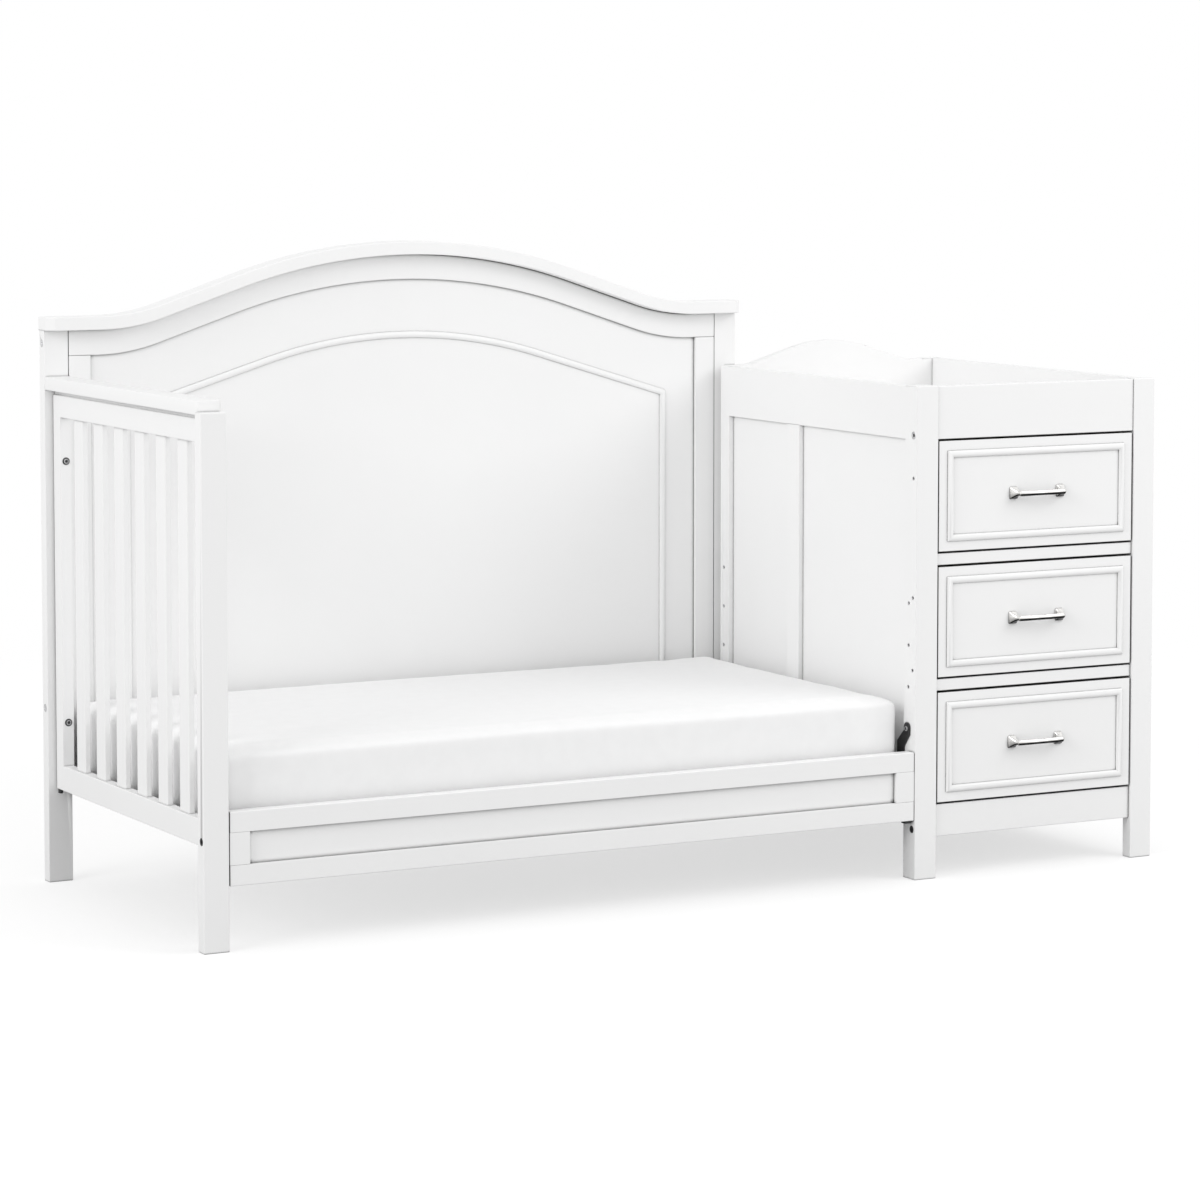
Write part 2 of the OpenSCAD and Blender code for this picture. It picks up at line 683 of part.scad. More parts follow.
// Steel angle bent round the bed's room, its level leg on top
module support_frame() color(black_steel) placed() difference() {
    board(support_x, support_y, [support_low, support_z]);
    board(grown(support_x, -steel_t), grown(support_y, -steel_t), [support_low - over, support_z - steel_t]);
    board(grown(support_x, -angle_w), grown(support_y, -angle_w), [support_low - over, support_z + over]);
}

module support_springs() color(black_steel) placed() {
    x = grown(support_x, -angle_w);
    y = grown(support_y, -angle_w);
    z = [support_z - wire_t, support_z];
    for (i = [1 : wires_long]) translate([0, y[0] + (y[1] - y[0]) * i / (wires_long + 1), 0])
        board(x, [-wire_t / 2, wire_t / 2], z);
    for (i = [1 : wires_cross]) translate([x[0] + (x[1] - x[0]) * i / (wires_cross + 1), 0, 0])
        board([-wire_t / 2, wire_t / 2], y, z);
}

// Flat steel with a bolt tab at the top and a shelf that the frame rests on. way is the side of
// the face at x that the bracket lies on; the tab and the stem may stand at different depths.
module bracket(x, way, tab_y, stem_y) {
    plate = way > 0 ? [x, x + steel_t] : [x - steel_t, x];
    shelf = way > 0 ? [x, x + angle_w] : [x - angle_w, x];
    half = bracket_w / 2;
    difference() {
        union() {
            board(plate, [tab_y - half, max(tab_y, stem_y) + half], [bracket_tab_z, bracket_top]);
            board(plate, [stem_y - half, stem_y + half], [support_low - steel_t, bracket_top]);
            board(shelf, [stem_y - half, stem_y + half], [support_low - steel_t, support_low]);
        }
        rod_x(grown(plate, over), tab_y, bracket_bolt_z, bolt_r + fit);
    }
}

module support_brackets() color(black_steel) placed() {
    for (y = end_bracket_y) bracket(end_x[1], 1, y, y);
    bracket(changer_x, -1, changer_bracket_y[0], front_bracket_y);
    bracket(changer_x, -1, changer_bracket_y[1], changer_bracket_y[1]);
}

// ---- Changer ----

module inner_grooves() {
    side_groove(inner_panel_x, front_field_y, side_field_z);
    side_groove(inner_panel_x, rear_field_y, side_field_z);
}

module outer_grooves() {
    side_groove(outer_panel_x, outer_front_field_y, side_field_z);
    side_groove(outer_panel_x, outer_rear_field_y, side_field_z);
}

module changer_inner_front_leg() color(white_paint) placed() difference() {
    board(inner_leg_x, inner_leg_y, [0, leg_h]);
    inner_grooves();
    for (z = inner_bolt_z) bolt_hole_x(changer_x, 1, inner_bolt_y, z, leg_w);
    bolt_hole_x(inner_leg_x[1], -1, rail_bolt_y, rail_bolt_z, leg_w + reveal);
    for (z = spare_z) rod_x([changer_x - over, changer_x + spare_depth], inner_bolt_y, z, spare_r);
    height_holes(changer_x, 1, changer_bracket_y[0]);
}

module changer_inner_rear_leg() color(white_paint) placed() difference() {
    board(inner_leg_x, rear_leg_y, [0, leg_h]);
    inner_grooves();
    height_holes(changer_x, 1, changer_bracket_y[1]);
    for (z = spacer_bolt_z) bolt_hole_y(rear_leg_y[0], 1, spacer_bolt_x, z, rear_leg_d + rear_gap);
}

module changer_outer_front_leg() color(white_paint) placed() difference() {
    board(outer_leg_x, outer_leg_y, [0, leg_h]);
    outer_grooves();
}

module changer_outer_rear_leg() color(white_paint) placed() difference() {
    board(outer_leg_x, post_y, [0, leg_h]);
    outer_grooves();
}

module changer_inner_side_rails() color(white_paint) placed() difference() {
    for (z = [inner_bottom_zz, top_rail_z]) board(inner_side_x, [inner_leg_d, rear_leg_y[0]], z);
    inner_grooves();
}

module changer_outer_side_rails() color(white_paint) placed() difference() {
    for (z = [side_bottom_zz, top_rail_z]) board(outer_side_x, [outer_leg_d, room_d], z);
    outer_grooves();
}

module changer_centre_stiles() color(white_paint) placed() difference() {
    for (x = [inner_side_x, outer_side_x]) board(x, [centre_y, centre_y + centre_w], side_field_z);
    inner_grooves();
    outer_grooves();
}

module changer_inner_side_panels() color(white_paint) placed() {
    side_panel(inner_panel_x, front_field_y, side_field_z);
    side_panel(inner_panel_x, rear_field_y, side_field_z);
}

module changer_outer_side_panels() color(white_paint) placed() {
    side_panel(outer_panel_x, outer_front_field_y, side_field_z);
    side_panel(outer_panel_x, outer_rear_field_y, side_field_z);
}

// Camel-backed board behind the tray, and the bottom rail of the back
module changer_back_boards() color(white_paint) placed() {
    upright(camel_mid, back_board_y) arch_field(camel, camel_half, top_rail_z[1] + camel_rise, top_rail_z[0]);
    board(camel_x, back_board_y, apron_z);
}

module changer_back_panel() color(white_paint) placed()
    board([inner_leg_x[1], outer_side_x[0]], back_panel_y, [apron_z[0] + apron_h / 2, top_rail_z[0]]);

module changer_spacer() color(white_paint) placed() difference() {
    board([changer_x + spacer_inset, inner_leg_x[1]], [rear_leg_y[1], room_d], [side_z, top_rail_z[1]]);
    for (z = spacer_bolt_z) bolt_hole_y(rear_leg_y[0], 1, spacer_bolt_x, z, rear_leg_d + rear_gap);
}

module changer_front_top_rail() color(white_paint) placed() difference() {
    board(opening_x, front_rail_y, top_rail_z);
    bolt_hole_x(changer_x, 1, inner_bolt_y, inner_bolt_z[0], leg_w);
}

module changer_dividers() color(white_paint) placed()
    for (n = [1, 2]) board(opening_x, [divider_inset, divider_inset + divider_d],
        [opening_z(n) - divider_h, opening_z(n)]);

module changer_apron() color(white_paint) placed() difference() {
    board(opening_x, [apron_inset, apron_inset + front_rail_t], apron_z);
    bolt_hole_x(changer_x, 1, inner_bolt_y, inner_bolt_z[1], leg_w);
}

// A level panel between the side frames, notched round the legs and the spacer
module level_panel(y, z) difference() {
    board([inner_side_x[1], outer_side_x[0]], y, z);
    board(grown(inner_leg_x, over), [-over, inner_leg_d], grown(z, over));
    board([changer_x, inner_leg_x[1]], [rear_leg_y[0], room_d + over], grown(z, over));
}

module changer_tray_deck() color(white_paint) placed()
    level_panel([front_rail_y[1], room_d], [top_rail_z[0], top_rail_z[0] + deck_t]);

module changer_bottom_panel() color(white_paint) placed()
    level_panel([apron_inset + front_rail_t, room_d - back_panel_t], bottom_panel_z);

module changer_runner_cleats() color(bare_wood) placed()
    for (n = [1 : 3]) {
        z = [runner_z(n) - cleat_h / 2, runner_z(n) + cleat_h / 2];
        board([inner_side_x[1], inner_leg_x[1]], [inner_leg_d, runner_y[1]], z);
        board([outer_leg_x[0], outer_side_x[0]], [outer_leg_d, runner_y[1]], z);
    }

module changer_runners() color(black_steel) placed()
    for (n = [1 : 3]) {
        board([opening_x[0], opening_x[0] + runner_reach], runner_y, runner_zz(n));
        board([opening_x[1] - runner_reach, opening_x[1]], runner_y, runner_zz(n));
    }

// ---- Bolts ----

// A bolt from a face at x or y, the way it points (1 or -1), through the first piece. The head
// lies in a counterbore where the hole has one.
module bolt_hole_x(x, way, y, z, through) {
    end = x + way * (through + bolt_bite + fit);
    sunk = x + way * (head_t + fit);
    rod_x([min(x - way * over, end), max(x - way * over, end)], y, z, bolt_r + fit);
    rod_x([min(x - way * over, sunk), max(x - way * over, sunk)], y, z, head_r + fit);
}
module bolt_hole_y(y, way, x, z, through) {
    end = y + way * (through + bolt_bite + fit);
    rod_y(x, [min(y - way * over, end), max(y - way * over, end)], z, bolt_r + fit);
}
module sunk_bolt_x(x, way, y, z, through) {
    end = x + way * (through + bolt_bite);
    head = x + way * head_t;
    rod_x([min(x, end), max(x, end)], y, z, bolt_r);
    rod_x([min(x, head), max(x, head)], y, z, head_r);
}
module proud_bolt_x(x, way, y, z, through) {
    end = x + way * (through + spare_depth - fit);
    head = x - way * head_t;
    rod_x([min(x, end), max(x, end)], y, z, bolt_r);
    rod_x([min(x, head), max(x, head)], y, z, head_r);
}
module proud_bolt_y(y, way, x, z, through) {
    end = y + way * (through + bolt_bite);
    head = y - way * head_t;
    rod_y(x, [min(y, end), max(y, end)], z, bolt_r);
    rod_y(x, [min(y, head), max(y, head)], z, head_r);
}

// The holes of one bracket, in use and spare
module height_holes(x, way, y) {
    deep = x + way * spare_depth;
    rod_x([min(x - way * over, deep), max(x - way * over, deep)], y, bracket_bolt_z, bolt_r + fit);
    for (z = heights) rod_x([min(x - way * over, deep), max(x - way * over, deep)], y, z, spare_r);
}

module assembly_bolts() color(black_steel) placed() {
    sunk_bolt_x(0, 1, rail_bolt_y, rail_bolt_z, leg_w + reveal);
    sunk_bolt_x(inner_leg_x[1], -1, rail_bolt_y, rail_bolt_z, leg_w + reveal);
    for (z = post_bolt_z) sunk_bolt_x(left_post_x[0], 1, post_bolt_y, z, leg_w + reveal);
    for (z = post_bolt_z) sunk_bolt_x(right_post_x[1], -1, post_bolt_y, z, leg_w + reveal);
    for (z = inner_bolt_z) sunk_bolt_x(changer_x, 1, inner_bolt_y, z, leg_w);
    for (z = end_bolt_z) proud_bolt_y(end_rear_y[0], 1, slat_x, z, end_rear_w);
    for (z = end_bolt_z) proud_bolt_y(end_front_y[1], -1, slat_x, z, end_front_w);
    for (z = spacer_bolt_z) proud_bolt_y(rear_leg_y[0], 1, spacer_bolt_x, z, rear_leg_d + rear_gap);
    for (y = end_bracket_y) proud_bolt_x(end_x[1] + steel_t, -1, y, bracket_bolt_z, steel_t);
    for (y = changer_bracket_y) proud_bolt_x(changer_x - steel_t, 1, y, bracket_bolt_z, steel_t);
}

// ---- Drawers ----

module drawer_front(n) color(white_paint) placed() difference() {
    board(box_x, front_face_y, [front_z(n), front_z(n) + front_h]);
    tray_groove(n);
    for (s = [-1, 1]) rod_y(handle_x + s * handle_pitch / 2, grown(front_face_y, over),
        front_z(n) + front_h / 2, screw_r + fit);
}

module drawer_moulding(n) color(white_paint) placed() {
    x = grown(box_x, -moulding_inset);
    z = [front_z(n) + moulding_inset, front_z(n) + front_h - moulding_inset];
    y = [face_inset - moulding_t, face_inset];
    difference() {
        board(x, y, z);
        board(grown(x, -moulding_w), grown(y, over), grown(z, -moulding_w));
    }
}

// Groove for the drawer's bottom in the front and the sides
module tray_groove(n) board(grown(box_in_x, tray_tongue), [box_y[0] - tray_tongue, box_y[1] + over],
    [tray_z(n) - fit, tray_z(n) + tray_t + fit]);

module drawer_sides(n) color(bare_wood) placed() difference() {
    for (x = [[box_x[0], box_in_x[0]], [box_in_x[1], box_x[1]]])
        board(x, box_y, [box_z(n), box_z(n) + box_h]);
    tray_groove(n);
    for (x = [[box_x[0] - over, box_x[0] + runner_groove], [box_x[1] - runner_groove, box_x[1] + over]])
        board(x, grown(box_y, over), grown(runner_zz(n), fit));
}

module drawer_back(n) color(bare_wood) placed()
    board(box_in_x, [box_y[1] - box_t, box_y[1]], [tray_z(n) + tray_t + fit, box_z(n) + box_h]);

module drawer_bottom(n) color(bare_wood) placed()
    board(grown(box_in_x, tray_tongue - fit), [box_y[0] - tray_tongue + fit, box_y[1]],
        [tray_z(n), tray_z(n) + tray_t]);

// Bow handle: two pyramid feet, a bowed bar, and a screw from inside the front into each foot
module drawer_handle(n) color(nickel) placed() translate([handle_x, face_inset, front_z(n) + front_h / 2]) {
    for (s = [-1, 1]) translate([s * handle_pitch / 2, 0, 0]) {
        handle_foot();
        rod_y(0, [-foot_plate, front_t + screw_r / 2], 0, screw_r);
        rod_y(0, [front_t, front_t + screw_r], 0, 2 * screw_r);
    }
    linear_extrude(bar_h, center = true) polygon(concat(bar_line(0), reversed(bar_line(bar_t))));
}

// The bar's front line, moved back by t: a shallow parabola
function bar_line(t) = [for (i = [-6 : 6]) let (x = (handle_pitch / 2 + bar_end) * i / 6)
    [x, -handle_reach + bar_bow * pow(i / 6, 2) + t]];

// Half outline of a foot, w wide, from its plate on the drawer to the neck inside the bar
function foot_line(w) = let (neck = bar_bow - handle_reach + bar_t)
    [[w / 2, 0], [w / 2, -foot_plate], [neck_w / 2, neck], [neck_w / 2, neck - bar_t / 2]];
module foot_shape(w) polygon(concat(foot_line(w), mirrored(foot_line(w))));

// A pyramid foot: its outline seen from above crossed with the one seen from the side
module handle_foot() intersection() {
    linear_extrude(foot_h, center = true) foot_shape(foot_w);
    rotate([0, 90, 0]) linear_extrude(foot_w, center = true) foot_shape(foot_h);
}

headboard_left_post();
headboard_right_post();
headboard_cap();
headboard_arch_rail();
headboard_stiles();
headboard_bottom_rail();
headboard_panel();
headboard_bead();
end_front_leg();
end_arm_cap();
end_top_rail();
end_stiles();
end_slats();
end_bottom_rail();
daybed_top_rail();
daybed_bottom_rail();
daybed_stiles();
daybed_panel();
support_frame();
support_springs();
support_brackets();
mattress();
changer_inner_front_leg();
changer_inner_rear_leg();
changer_outer_front_leg();
changer_outer_rear_leg();
changer_inner_side_rails();
changer_outer_side_rails();
changer_centre_stiles();
changer_inner_side_panels();
changer_outer_side_panels();
changer_back_boards();
changer_back_panel();
changer_spacer();
changer_front_top_rail();
changer_dividers();
changer_apron();
changer_tray_deck();
changer_bottom_panel();
changer_runner_cleats();
changer_runners();
assembly_bolts();
drawer_front(1);  // drawer_1_front
drawer_moulding(1);  // drawer_1_moulding
drawer_sides(1);  // drawer_1_sides
drawer_back(1);  // drawer_1_back
drawer_bottom(1);  // drawer_1_bottom
drawer_handle(1);  // drawer_1_handle
drawer_front(2);  // drawer_2_front
drawer_moulding(2);  // drawer_2_moulding
drawer_sides(2);  // drawer_2_sides
drawer_back(2);  // drawer_2_back
drawer_bottom(2);  // drawer_2_bottom
drawer_handle(2);  // drawer_2_handle
drawer_front(3);  // drawer_3_front
drawer_moulding(3);  // drawer_3_moulding
drawer_sides(3);  // drawer_3_sides
drawer_back(3);  // drawer_3_back
drawer_bottom(3);  // drawer_3_bottom
drawer_handle(3);  // drawer_3_handle
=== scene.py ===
# %% [markdown]
# # A crib with an attached changer
#
# The crib is shown in its day-bed form: a tall arched headboard, one slatted end, a low rail at
# the front, and at the right a tower with three drawers and an open tray on top. Everything wooden
# is sprayed white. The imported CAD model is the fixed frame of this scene. It has the right sizes
# and joints, and this lesson adds what a drawing leaves out: softened edges, moulded trim, a
# sewn mattress, cast handles, bent wire and finishes.

import json
import math

import bmesh
import bpy
import numpy as np
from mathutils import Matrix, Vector
from mathutils.bvhtree import BVHTree

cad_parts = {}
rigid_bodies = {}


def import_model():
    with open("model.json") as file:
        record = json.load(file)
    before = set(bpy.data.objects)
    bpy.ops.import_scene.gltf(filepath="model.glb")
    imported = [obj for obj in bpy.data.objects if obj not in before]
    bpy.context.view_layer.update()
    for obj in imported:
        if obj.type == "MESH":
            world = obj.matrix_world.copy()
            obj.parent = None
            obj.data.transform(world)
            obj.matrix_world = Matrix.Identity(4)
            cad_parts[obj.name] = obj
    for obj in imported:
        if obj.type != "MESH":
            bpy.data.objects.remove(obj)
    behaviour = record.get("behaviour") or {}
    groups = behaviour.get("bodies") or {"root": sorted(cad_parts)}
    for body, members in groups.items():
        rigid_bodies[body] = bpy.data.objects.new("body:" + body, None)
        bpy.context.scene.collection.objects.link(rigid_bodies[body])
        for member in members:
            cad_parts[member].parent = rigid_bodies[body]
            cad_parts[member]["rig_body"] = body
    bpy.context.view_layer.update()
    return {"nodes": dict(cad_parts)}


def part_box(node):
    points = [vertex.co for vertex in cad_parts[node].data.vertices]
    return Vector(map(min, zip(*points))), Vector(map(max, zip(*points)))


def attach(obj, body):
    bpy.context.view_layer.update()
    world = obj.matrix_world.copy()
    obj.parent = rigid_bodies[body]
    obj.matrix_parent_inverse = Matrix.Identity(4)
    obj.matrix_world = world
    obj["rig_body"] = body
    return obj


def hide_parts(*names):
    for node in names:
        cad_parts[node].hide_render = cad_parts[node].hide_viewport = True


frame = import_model()
nodes = frame["nodes"]

# %% [markdown]
# ## Millimetres from the drawing
#
# A furniture drawing is dimensioned from one corner. Here that corner is the left front foot. The
# helpers below turn a drawing's millimetres into the metres of this scene and back.

# %% Drawing coordinates
MM = 0.001
CORNER = np.array(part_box("end_front_leg")[0])


def at(x, y, z):
    """A point x mm right of, y mm behind and z mm above the left front foot, in metres."""
    return CORNER + np.array([x, y, z]) * MM


def placed(points):
    """The same for a whole array of points."""
    return CORNER + np.asarray(points, float) * MM


def drawn(box):
    """The other way round: the two corners of a box in metres as millimetres of the drawing."""
    return [(np.array(corner) - CORNER) / MM for corner in box]


scene = bpy.context.scene
print("corner of the drawing", np.round(CORNER, 4))

# %% [markdown]
# ## Camera
#
# The photograph was taken from the left with a long lens, a little above the headboard's top.
# Upright edges stay almost parallel in it, which a small downward tilt and a small vertical shift
# give together. More shift would push the object out of other views that reuse this camera.

# %% Camera
TILT, TURN = 4.292, 28.284
lens = bpy.data.cameras.new("camera")
lens.sensor_width = 36
lens.lens = 123.0
lens.shift_y = -0.15
camera = bpy.data.objects.new("camera", lens)
camera.location = at(-2538.4, -6067.6, 1358.8)
camera.rotation_euler = (math.radians(90 - TILT), 0, math.radians(-TURN))
scene.collection.objects.link(camera)
scene.camera = camera
print("camera is", round(camera.location.length, 2), "m from the origin")

# %% [markdown]
# ## Small tools for meshes
#
# Every new shape below is a surface: rows of points that follow one parameter, with columns that
# follow another. The helpers write the four-cornered faces between the rows, close the ends,
# join several surfaces to one, and put points and faces into a mesh that hangs on its body.


# %% Surfaces
def quads(rows, columns, close_rows=False):
    """Faces of a grid whose rows are closed rings: point (i, j) joins (i, j + 1), (i + 1, j + 1)
    and (i + 1, j). With close_rows the last row joins the first as well."""
    i = np.arange(rows if close_rows else rows - 1)[:, None]
    j = np.arange(columns)[None, :]
    i2, j2 = (i + 1) % rows, (j + 1) % columns
    corners = [i * columns + j, i * columns + j2, i2 * columns + j2, i2 * columns + j]
    return np.stack(corners, -1).reshape(-1, 4).tolist()


def tube(surface):
    """Points and faces of rings stacked into a tube, closed by one face over each end."""
    rows, columns = surface.shape[:2]
    first = list(range(columns))
    last = list(range((rows - 1) * columns, rows * columns))
    return surface.reshape(-1, 3), [*quads(rows, columns), first[::-1], last]


def joined(parts):
    """Several (points, faces) pairs as one pair."""
    points, faces, start = [], [], 0
    for p, f in parts:
        points.append(p)
        faces.extend([[k + start for k in face] for face in f])
        start += len(p)
    return np.concatenate(points), faces


def points_of(mesh):
    """The mesh's points as an array."""
    flat = np.empty(len(mesh.vertices) * 3)
    mesh.vertices.foreach_get("co", flat)
    return flat.reshape(-1, 3)


def piece(name, shape, finish, body, smooth=40):
    """A mesh object from (points, faces), smooth where faces meet at less than smooth degrees."""
    points, faces = shape
    mesh = bpy.data.meshes.new(name)
    mesh.from_pydata(np.asarray(points, float).tolist(), [], faces)
    bm = bmesh.new()
    bm.from_mesh(mesh)
    bmesh.ops.remove_doubles(bm, verts=bm.verts, dist=1e-7)
    bmesh.ops.recalc_face_normals(bm, faces=bm.faces)
    bm.to_mesh(mesh)
    bm.free()
    mesh.shade_smooth()
    mesh.set_sharp_from_angle(angle=math.radians(smooth))
    mesh.materials.append(finish)
    obj = bpy.data.objects.new(name, mesh)
    scene.collection.objects.link(obj)
    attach(obj, body)
    return obj


# %% [markdown]
# ## Finishes
#
# A finish is a small graph of nodes. Each one below reads Object coordinates, which are metres
# in this scene, so a noise of scale 900 has spots about a millimetre wide on every piece. The
# first helper below adds a node and sets its sockets by name, and the others build on it.


# %% Node helpers
def finish(name):
    """A new material with its node tree and its Principled shader."""
    made = bpy.data.materials.new(name)
    made.use_nodes = True
    return made, made.node_tree, made.node_tree.nodes["Principled BSDF"]


def add(tree, kind, settings=None, **sockets):
    """Adds a node. settings are its own properties, sockets its inputs, plain values or links."""
    node = tree.nodes.new("ShaderNode" + kind)
    for key, value in (settings or {}).items():
        setattr(node, key, value)
    for key, value in sockets.items():
        socket = node.inputs[int(key[1:])] if key[0] == "_" else node.inputs[key.replace("_", " ")]
        if isinstance(value, bpy.types.NodeSocket):
            tree.links.new(value, socket)
        else:
            socket.default_value = value
    return node


def stretched_noise(tree, scale, stretch, detail=3.0):
    """Noise on Object coordinates that are first scaled by stretch, so its spots become streaks."""
    where = add(tree, "TexCoord").outputs["Object"]
    where = add(tree, "Mapping", Vector=where, Scale=stretch).outputs["Vector"]
    return add(tree, "TexNoise", Vector=where, Scale=scale, Detail=detail).outputs["Fac"]


def ramp(tree, value, low, high, start=0.3, end=0.7):
    """Turns a value of start..end into a colour between low and high."""
    node = add(tree, "ValToRGB", Fac=value)
    for stop, place, colour in zip(node.color_ramp.elements, (start, end), (low, high)):
        stop.position = place
        stop.color = (*colour, 1)
    return node.outputs["Color"]


def spread(tree, value, low, high, start=0.3, end=0.7):
    """Turns a value of start..end into a number between low and high."""
    return add(tree, "MapRange", Value=value, From_Min=start, From_Max=end, To_Min=low,
               To_Max=high).outputs["Result"]


def product(tree, first, second):
    """Two colours multiplied."""
    return add(tree, "Mix", {"data_type": "RGBA", "blend_type": "MULTIPLY"}, _0=1.0, _6=first,
               _7=second).outputs[2]


def maths(tree, operation, *numbers):
    """A calculation with one or two numbers, plain ones or links."""
    sockets = {f"_{k}": number for k, number in enumerate(numbers)}
    return add(tree, "Math", {"operation": operation}, **sockets).outputs[0]


def relief(tree, height, strength, distance, under=None):
    """A bump node, laid over the bump given as under."""
    node = add(tree, "Bump", Height=height, Strength=strength, Distance=distance)
    if under is not None:
        tree.links.new(under, node.inputs["Normal"])
    return node.outputs["Normal"]


# %% [markdown]
# ### White paint
#
# Nursery furniture is sanded, primed and sprayed with a satin enamel. Close up it has two kinds
# of relief: the fine dimples that sprayed paint dries into, and the last trace of the wood grain,
# which runs along each board. The grain's direction is why there are three versions. Shade is
# painted into their colour as well: an ambient occlusion reading darkens joints and inner corners,
# where shade falls. A fourth version, for mouldings and the boards beside them, paints that shade
# deeper and darker.

# %% White paint
AXES = {"x": 0, "y": 1, "z": 2}


def grained(along, across, lengthwise):
    """The stretch of a noise whose streaks run along an axis: its scale across and along it."""
    stretch = [across] * 3
    stretch[AXES[along]] = lengthwise
    return stretch


def white_paint(name, along, depth, darkest):
    """Satin enamel on a board whose grain runs along the given axis, with painted shade: in an
    inner corner an ambient occlusion reading darkens the colour to the tone darkest, and about
    depth metres away from the corner the painted shade has faded out."""
    made, tree, shader = finish(name)
    grain = stretched_noise(tree, 5.0, grained(along, 60.0, 3.0), 4.0)
    dimples = stretched_noise(tree, 420.0, (1, 1, 1), 2.0)
    clouds = stretched_noise(tree, 3.0, (1, 1, 1), 2.0)
    tone = ramp(tree, clouds, (0.892, 0.892, 0.892), (0.908, 0.908, 0.907))
    # Painted shade: the colour darkens where ambient occlusion finds a nearby surface, in joints
    # and inner corners.
    near = add(tree, "AmbientOcclusion", {"samples": 6}, Distance=depth).outputs["AO"]
    painted_corner_shade = ramp(tree, near, (darkest,) * 3, (1, 1, 1), 0.38, 0.80)
    tree.links.new(product(tree, tone, painted_corner_shade), shader.inputs["Base Color"])
    tree.links.new(spread(tree, dimples, 0.36, 0.46), shader.inputs["Roughness"])
    below = relief(tree, grain, 0.03, 0.0003)
    tree.links.new(relief(tree, dimples, 0.06, 0.0002, below), shader.inputs["Normal"])
    shader.inputs["IOR"].default_value = 1.48
    return made


paint = {axis: white_paint(f"white_paint_{axis}", axis, 0.006, 0.42) for axis in AXES}
# The moulded version reaches farther and paints its corner shade almost black.
paint["moulded"] = white_paint("white_paint_moulded_deep_shade", "x", 0.009, 0.06)
print("paints", sorted(paint))

# %% [markdown]
# ### Bare wood
#
# Drawer boxes and the bottom board are left clear. Their grain has broad bands of early and late
# wood, with fine fibres inside them.


# %% Bare wood
def clear_wood(along):
    """Light wood with clear lacquer, its grain along the given axis."""
    made, tree, shader = finish(f"bare_wood_{along}")
    bands = stretched_noise(tree, 3.0, grained(along, 14.0, 0.8), 3.0)
    fibres = stretched_noise(tree, 4.0, grained(along, 160.0, 6.0), 4.0)
    light = ramp(tree, bands, (0.62, 0.47, 0.29), (0.74, 0.60, 0.41))
    dark = ramp(tree, fibres, (0.80, 0.76, 0.70), (1, 1, 1))
    tree.links.new(product(tree, light, dark), shader.inputs["Base Color"])
    tree.links.new(spread(tree, fibres, 0.55, 0.42), shader.inputs["Roughness"])
    tree.links.new(relief(tree, fibres, 0.25, 0.0003), shader.inputs["Normal"])
    return made


wood = {axis: clear_wood(axis) for axis in AXES}

# %% [markdown]
# ### Metals
#
# The mattress support and its brackets are powder coated: black, slightly pebbled, dull. The
# handles are cast, plated with nickel and polished. A reflection is painted into their colour:
# upper and outer sides are painted bright, like the lamps above, and undersides near black, like a
# dark room below. One number tells them apart: how far a face's normal agrees with a direction
# that points up.

# %% Metals
black_steel, tree, shader = finish("black_steel")
pebbles = stretched_noise(tree, 1400.0, (1, 1, 1), 2.0)
coat = ramp(tree, pebbles, (0.012, 0.012, 0.013), (0.028, 0.028, 0.029))
tree.links.new(coat, shader.inputs["Base Color"])
tree.links.new(spread(tree, pebbles, 0.38, 0.52), shader.inputs["Roughness"])
tree.links.new(relief(tree, pebbles, 0.35, 0.0002), shader.inputs["Normal"])

satin_nickel, tree, shader = finish("satin_nickel")
brushing = stretched_noise(tree, 6.0, (12, 220, 220), 3.0)
# Painted reflection: the base colour runs from near black on faces turned down to bright on faces
# turned up.
facing = add(tree, "VectorMath", {"operation": "DOT_PRODUCT"}, _1=(-0.10, -0.15, 0.98),
             _0=add(tree, "NewGeometry").outputs["Normal"]).outputs["Value"]
lifted = maths(tree, "ADD", facing, 0.5)
painted_reflection = ramp(tree, lifted, (0.015, 0.015, 0.016), (0.92, 0.91, 0.89), 0.52, 0.68)
worn = ramp(tree, brushing, (0.86, 0.86, 0.86), (1, 1, 1))
tree.links.new(product(tree, painted_reflection, worn), shader.inputs["Base Color"])
tree.links.new(spread(tree, brushing, 0.12, 0.20), shader.inputs["Roughness"])
tree.links.new(relief(tree, brushing, 0.06, 0.0001), shader.inputs["Normal"])
shader.inputs["Metallic"].default_value = 1.0

steel_grey, tree, shader = finish("zinc_steel")
spangle = stretched_noise(tree, 300.0, (1, 1, 1), 2.0)
zinc = ramp(tree, spangle, (0.60, 0.60, 0.61), (0.74, 0.74, 0.75))
tree.links.new(zinc, shader.inputs["Base Color"])
tree.links.new(spread(tree, spangle, 0.30, 0.42), shader.inputs["Roughness"])
shader.inputs["Metallic"].default_value = 1.0

# %% [markdown]
# ### Cotton sheet
#
# The mattress wears a fitted sheet of plain white cotton. The weave is a thread every 0.6 mm in
# both directions. Three waves, one along each axis, give crossing threads on every side, because
# on any flat side one of the three stays constant.

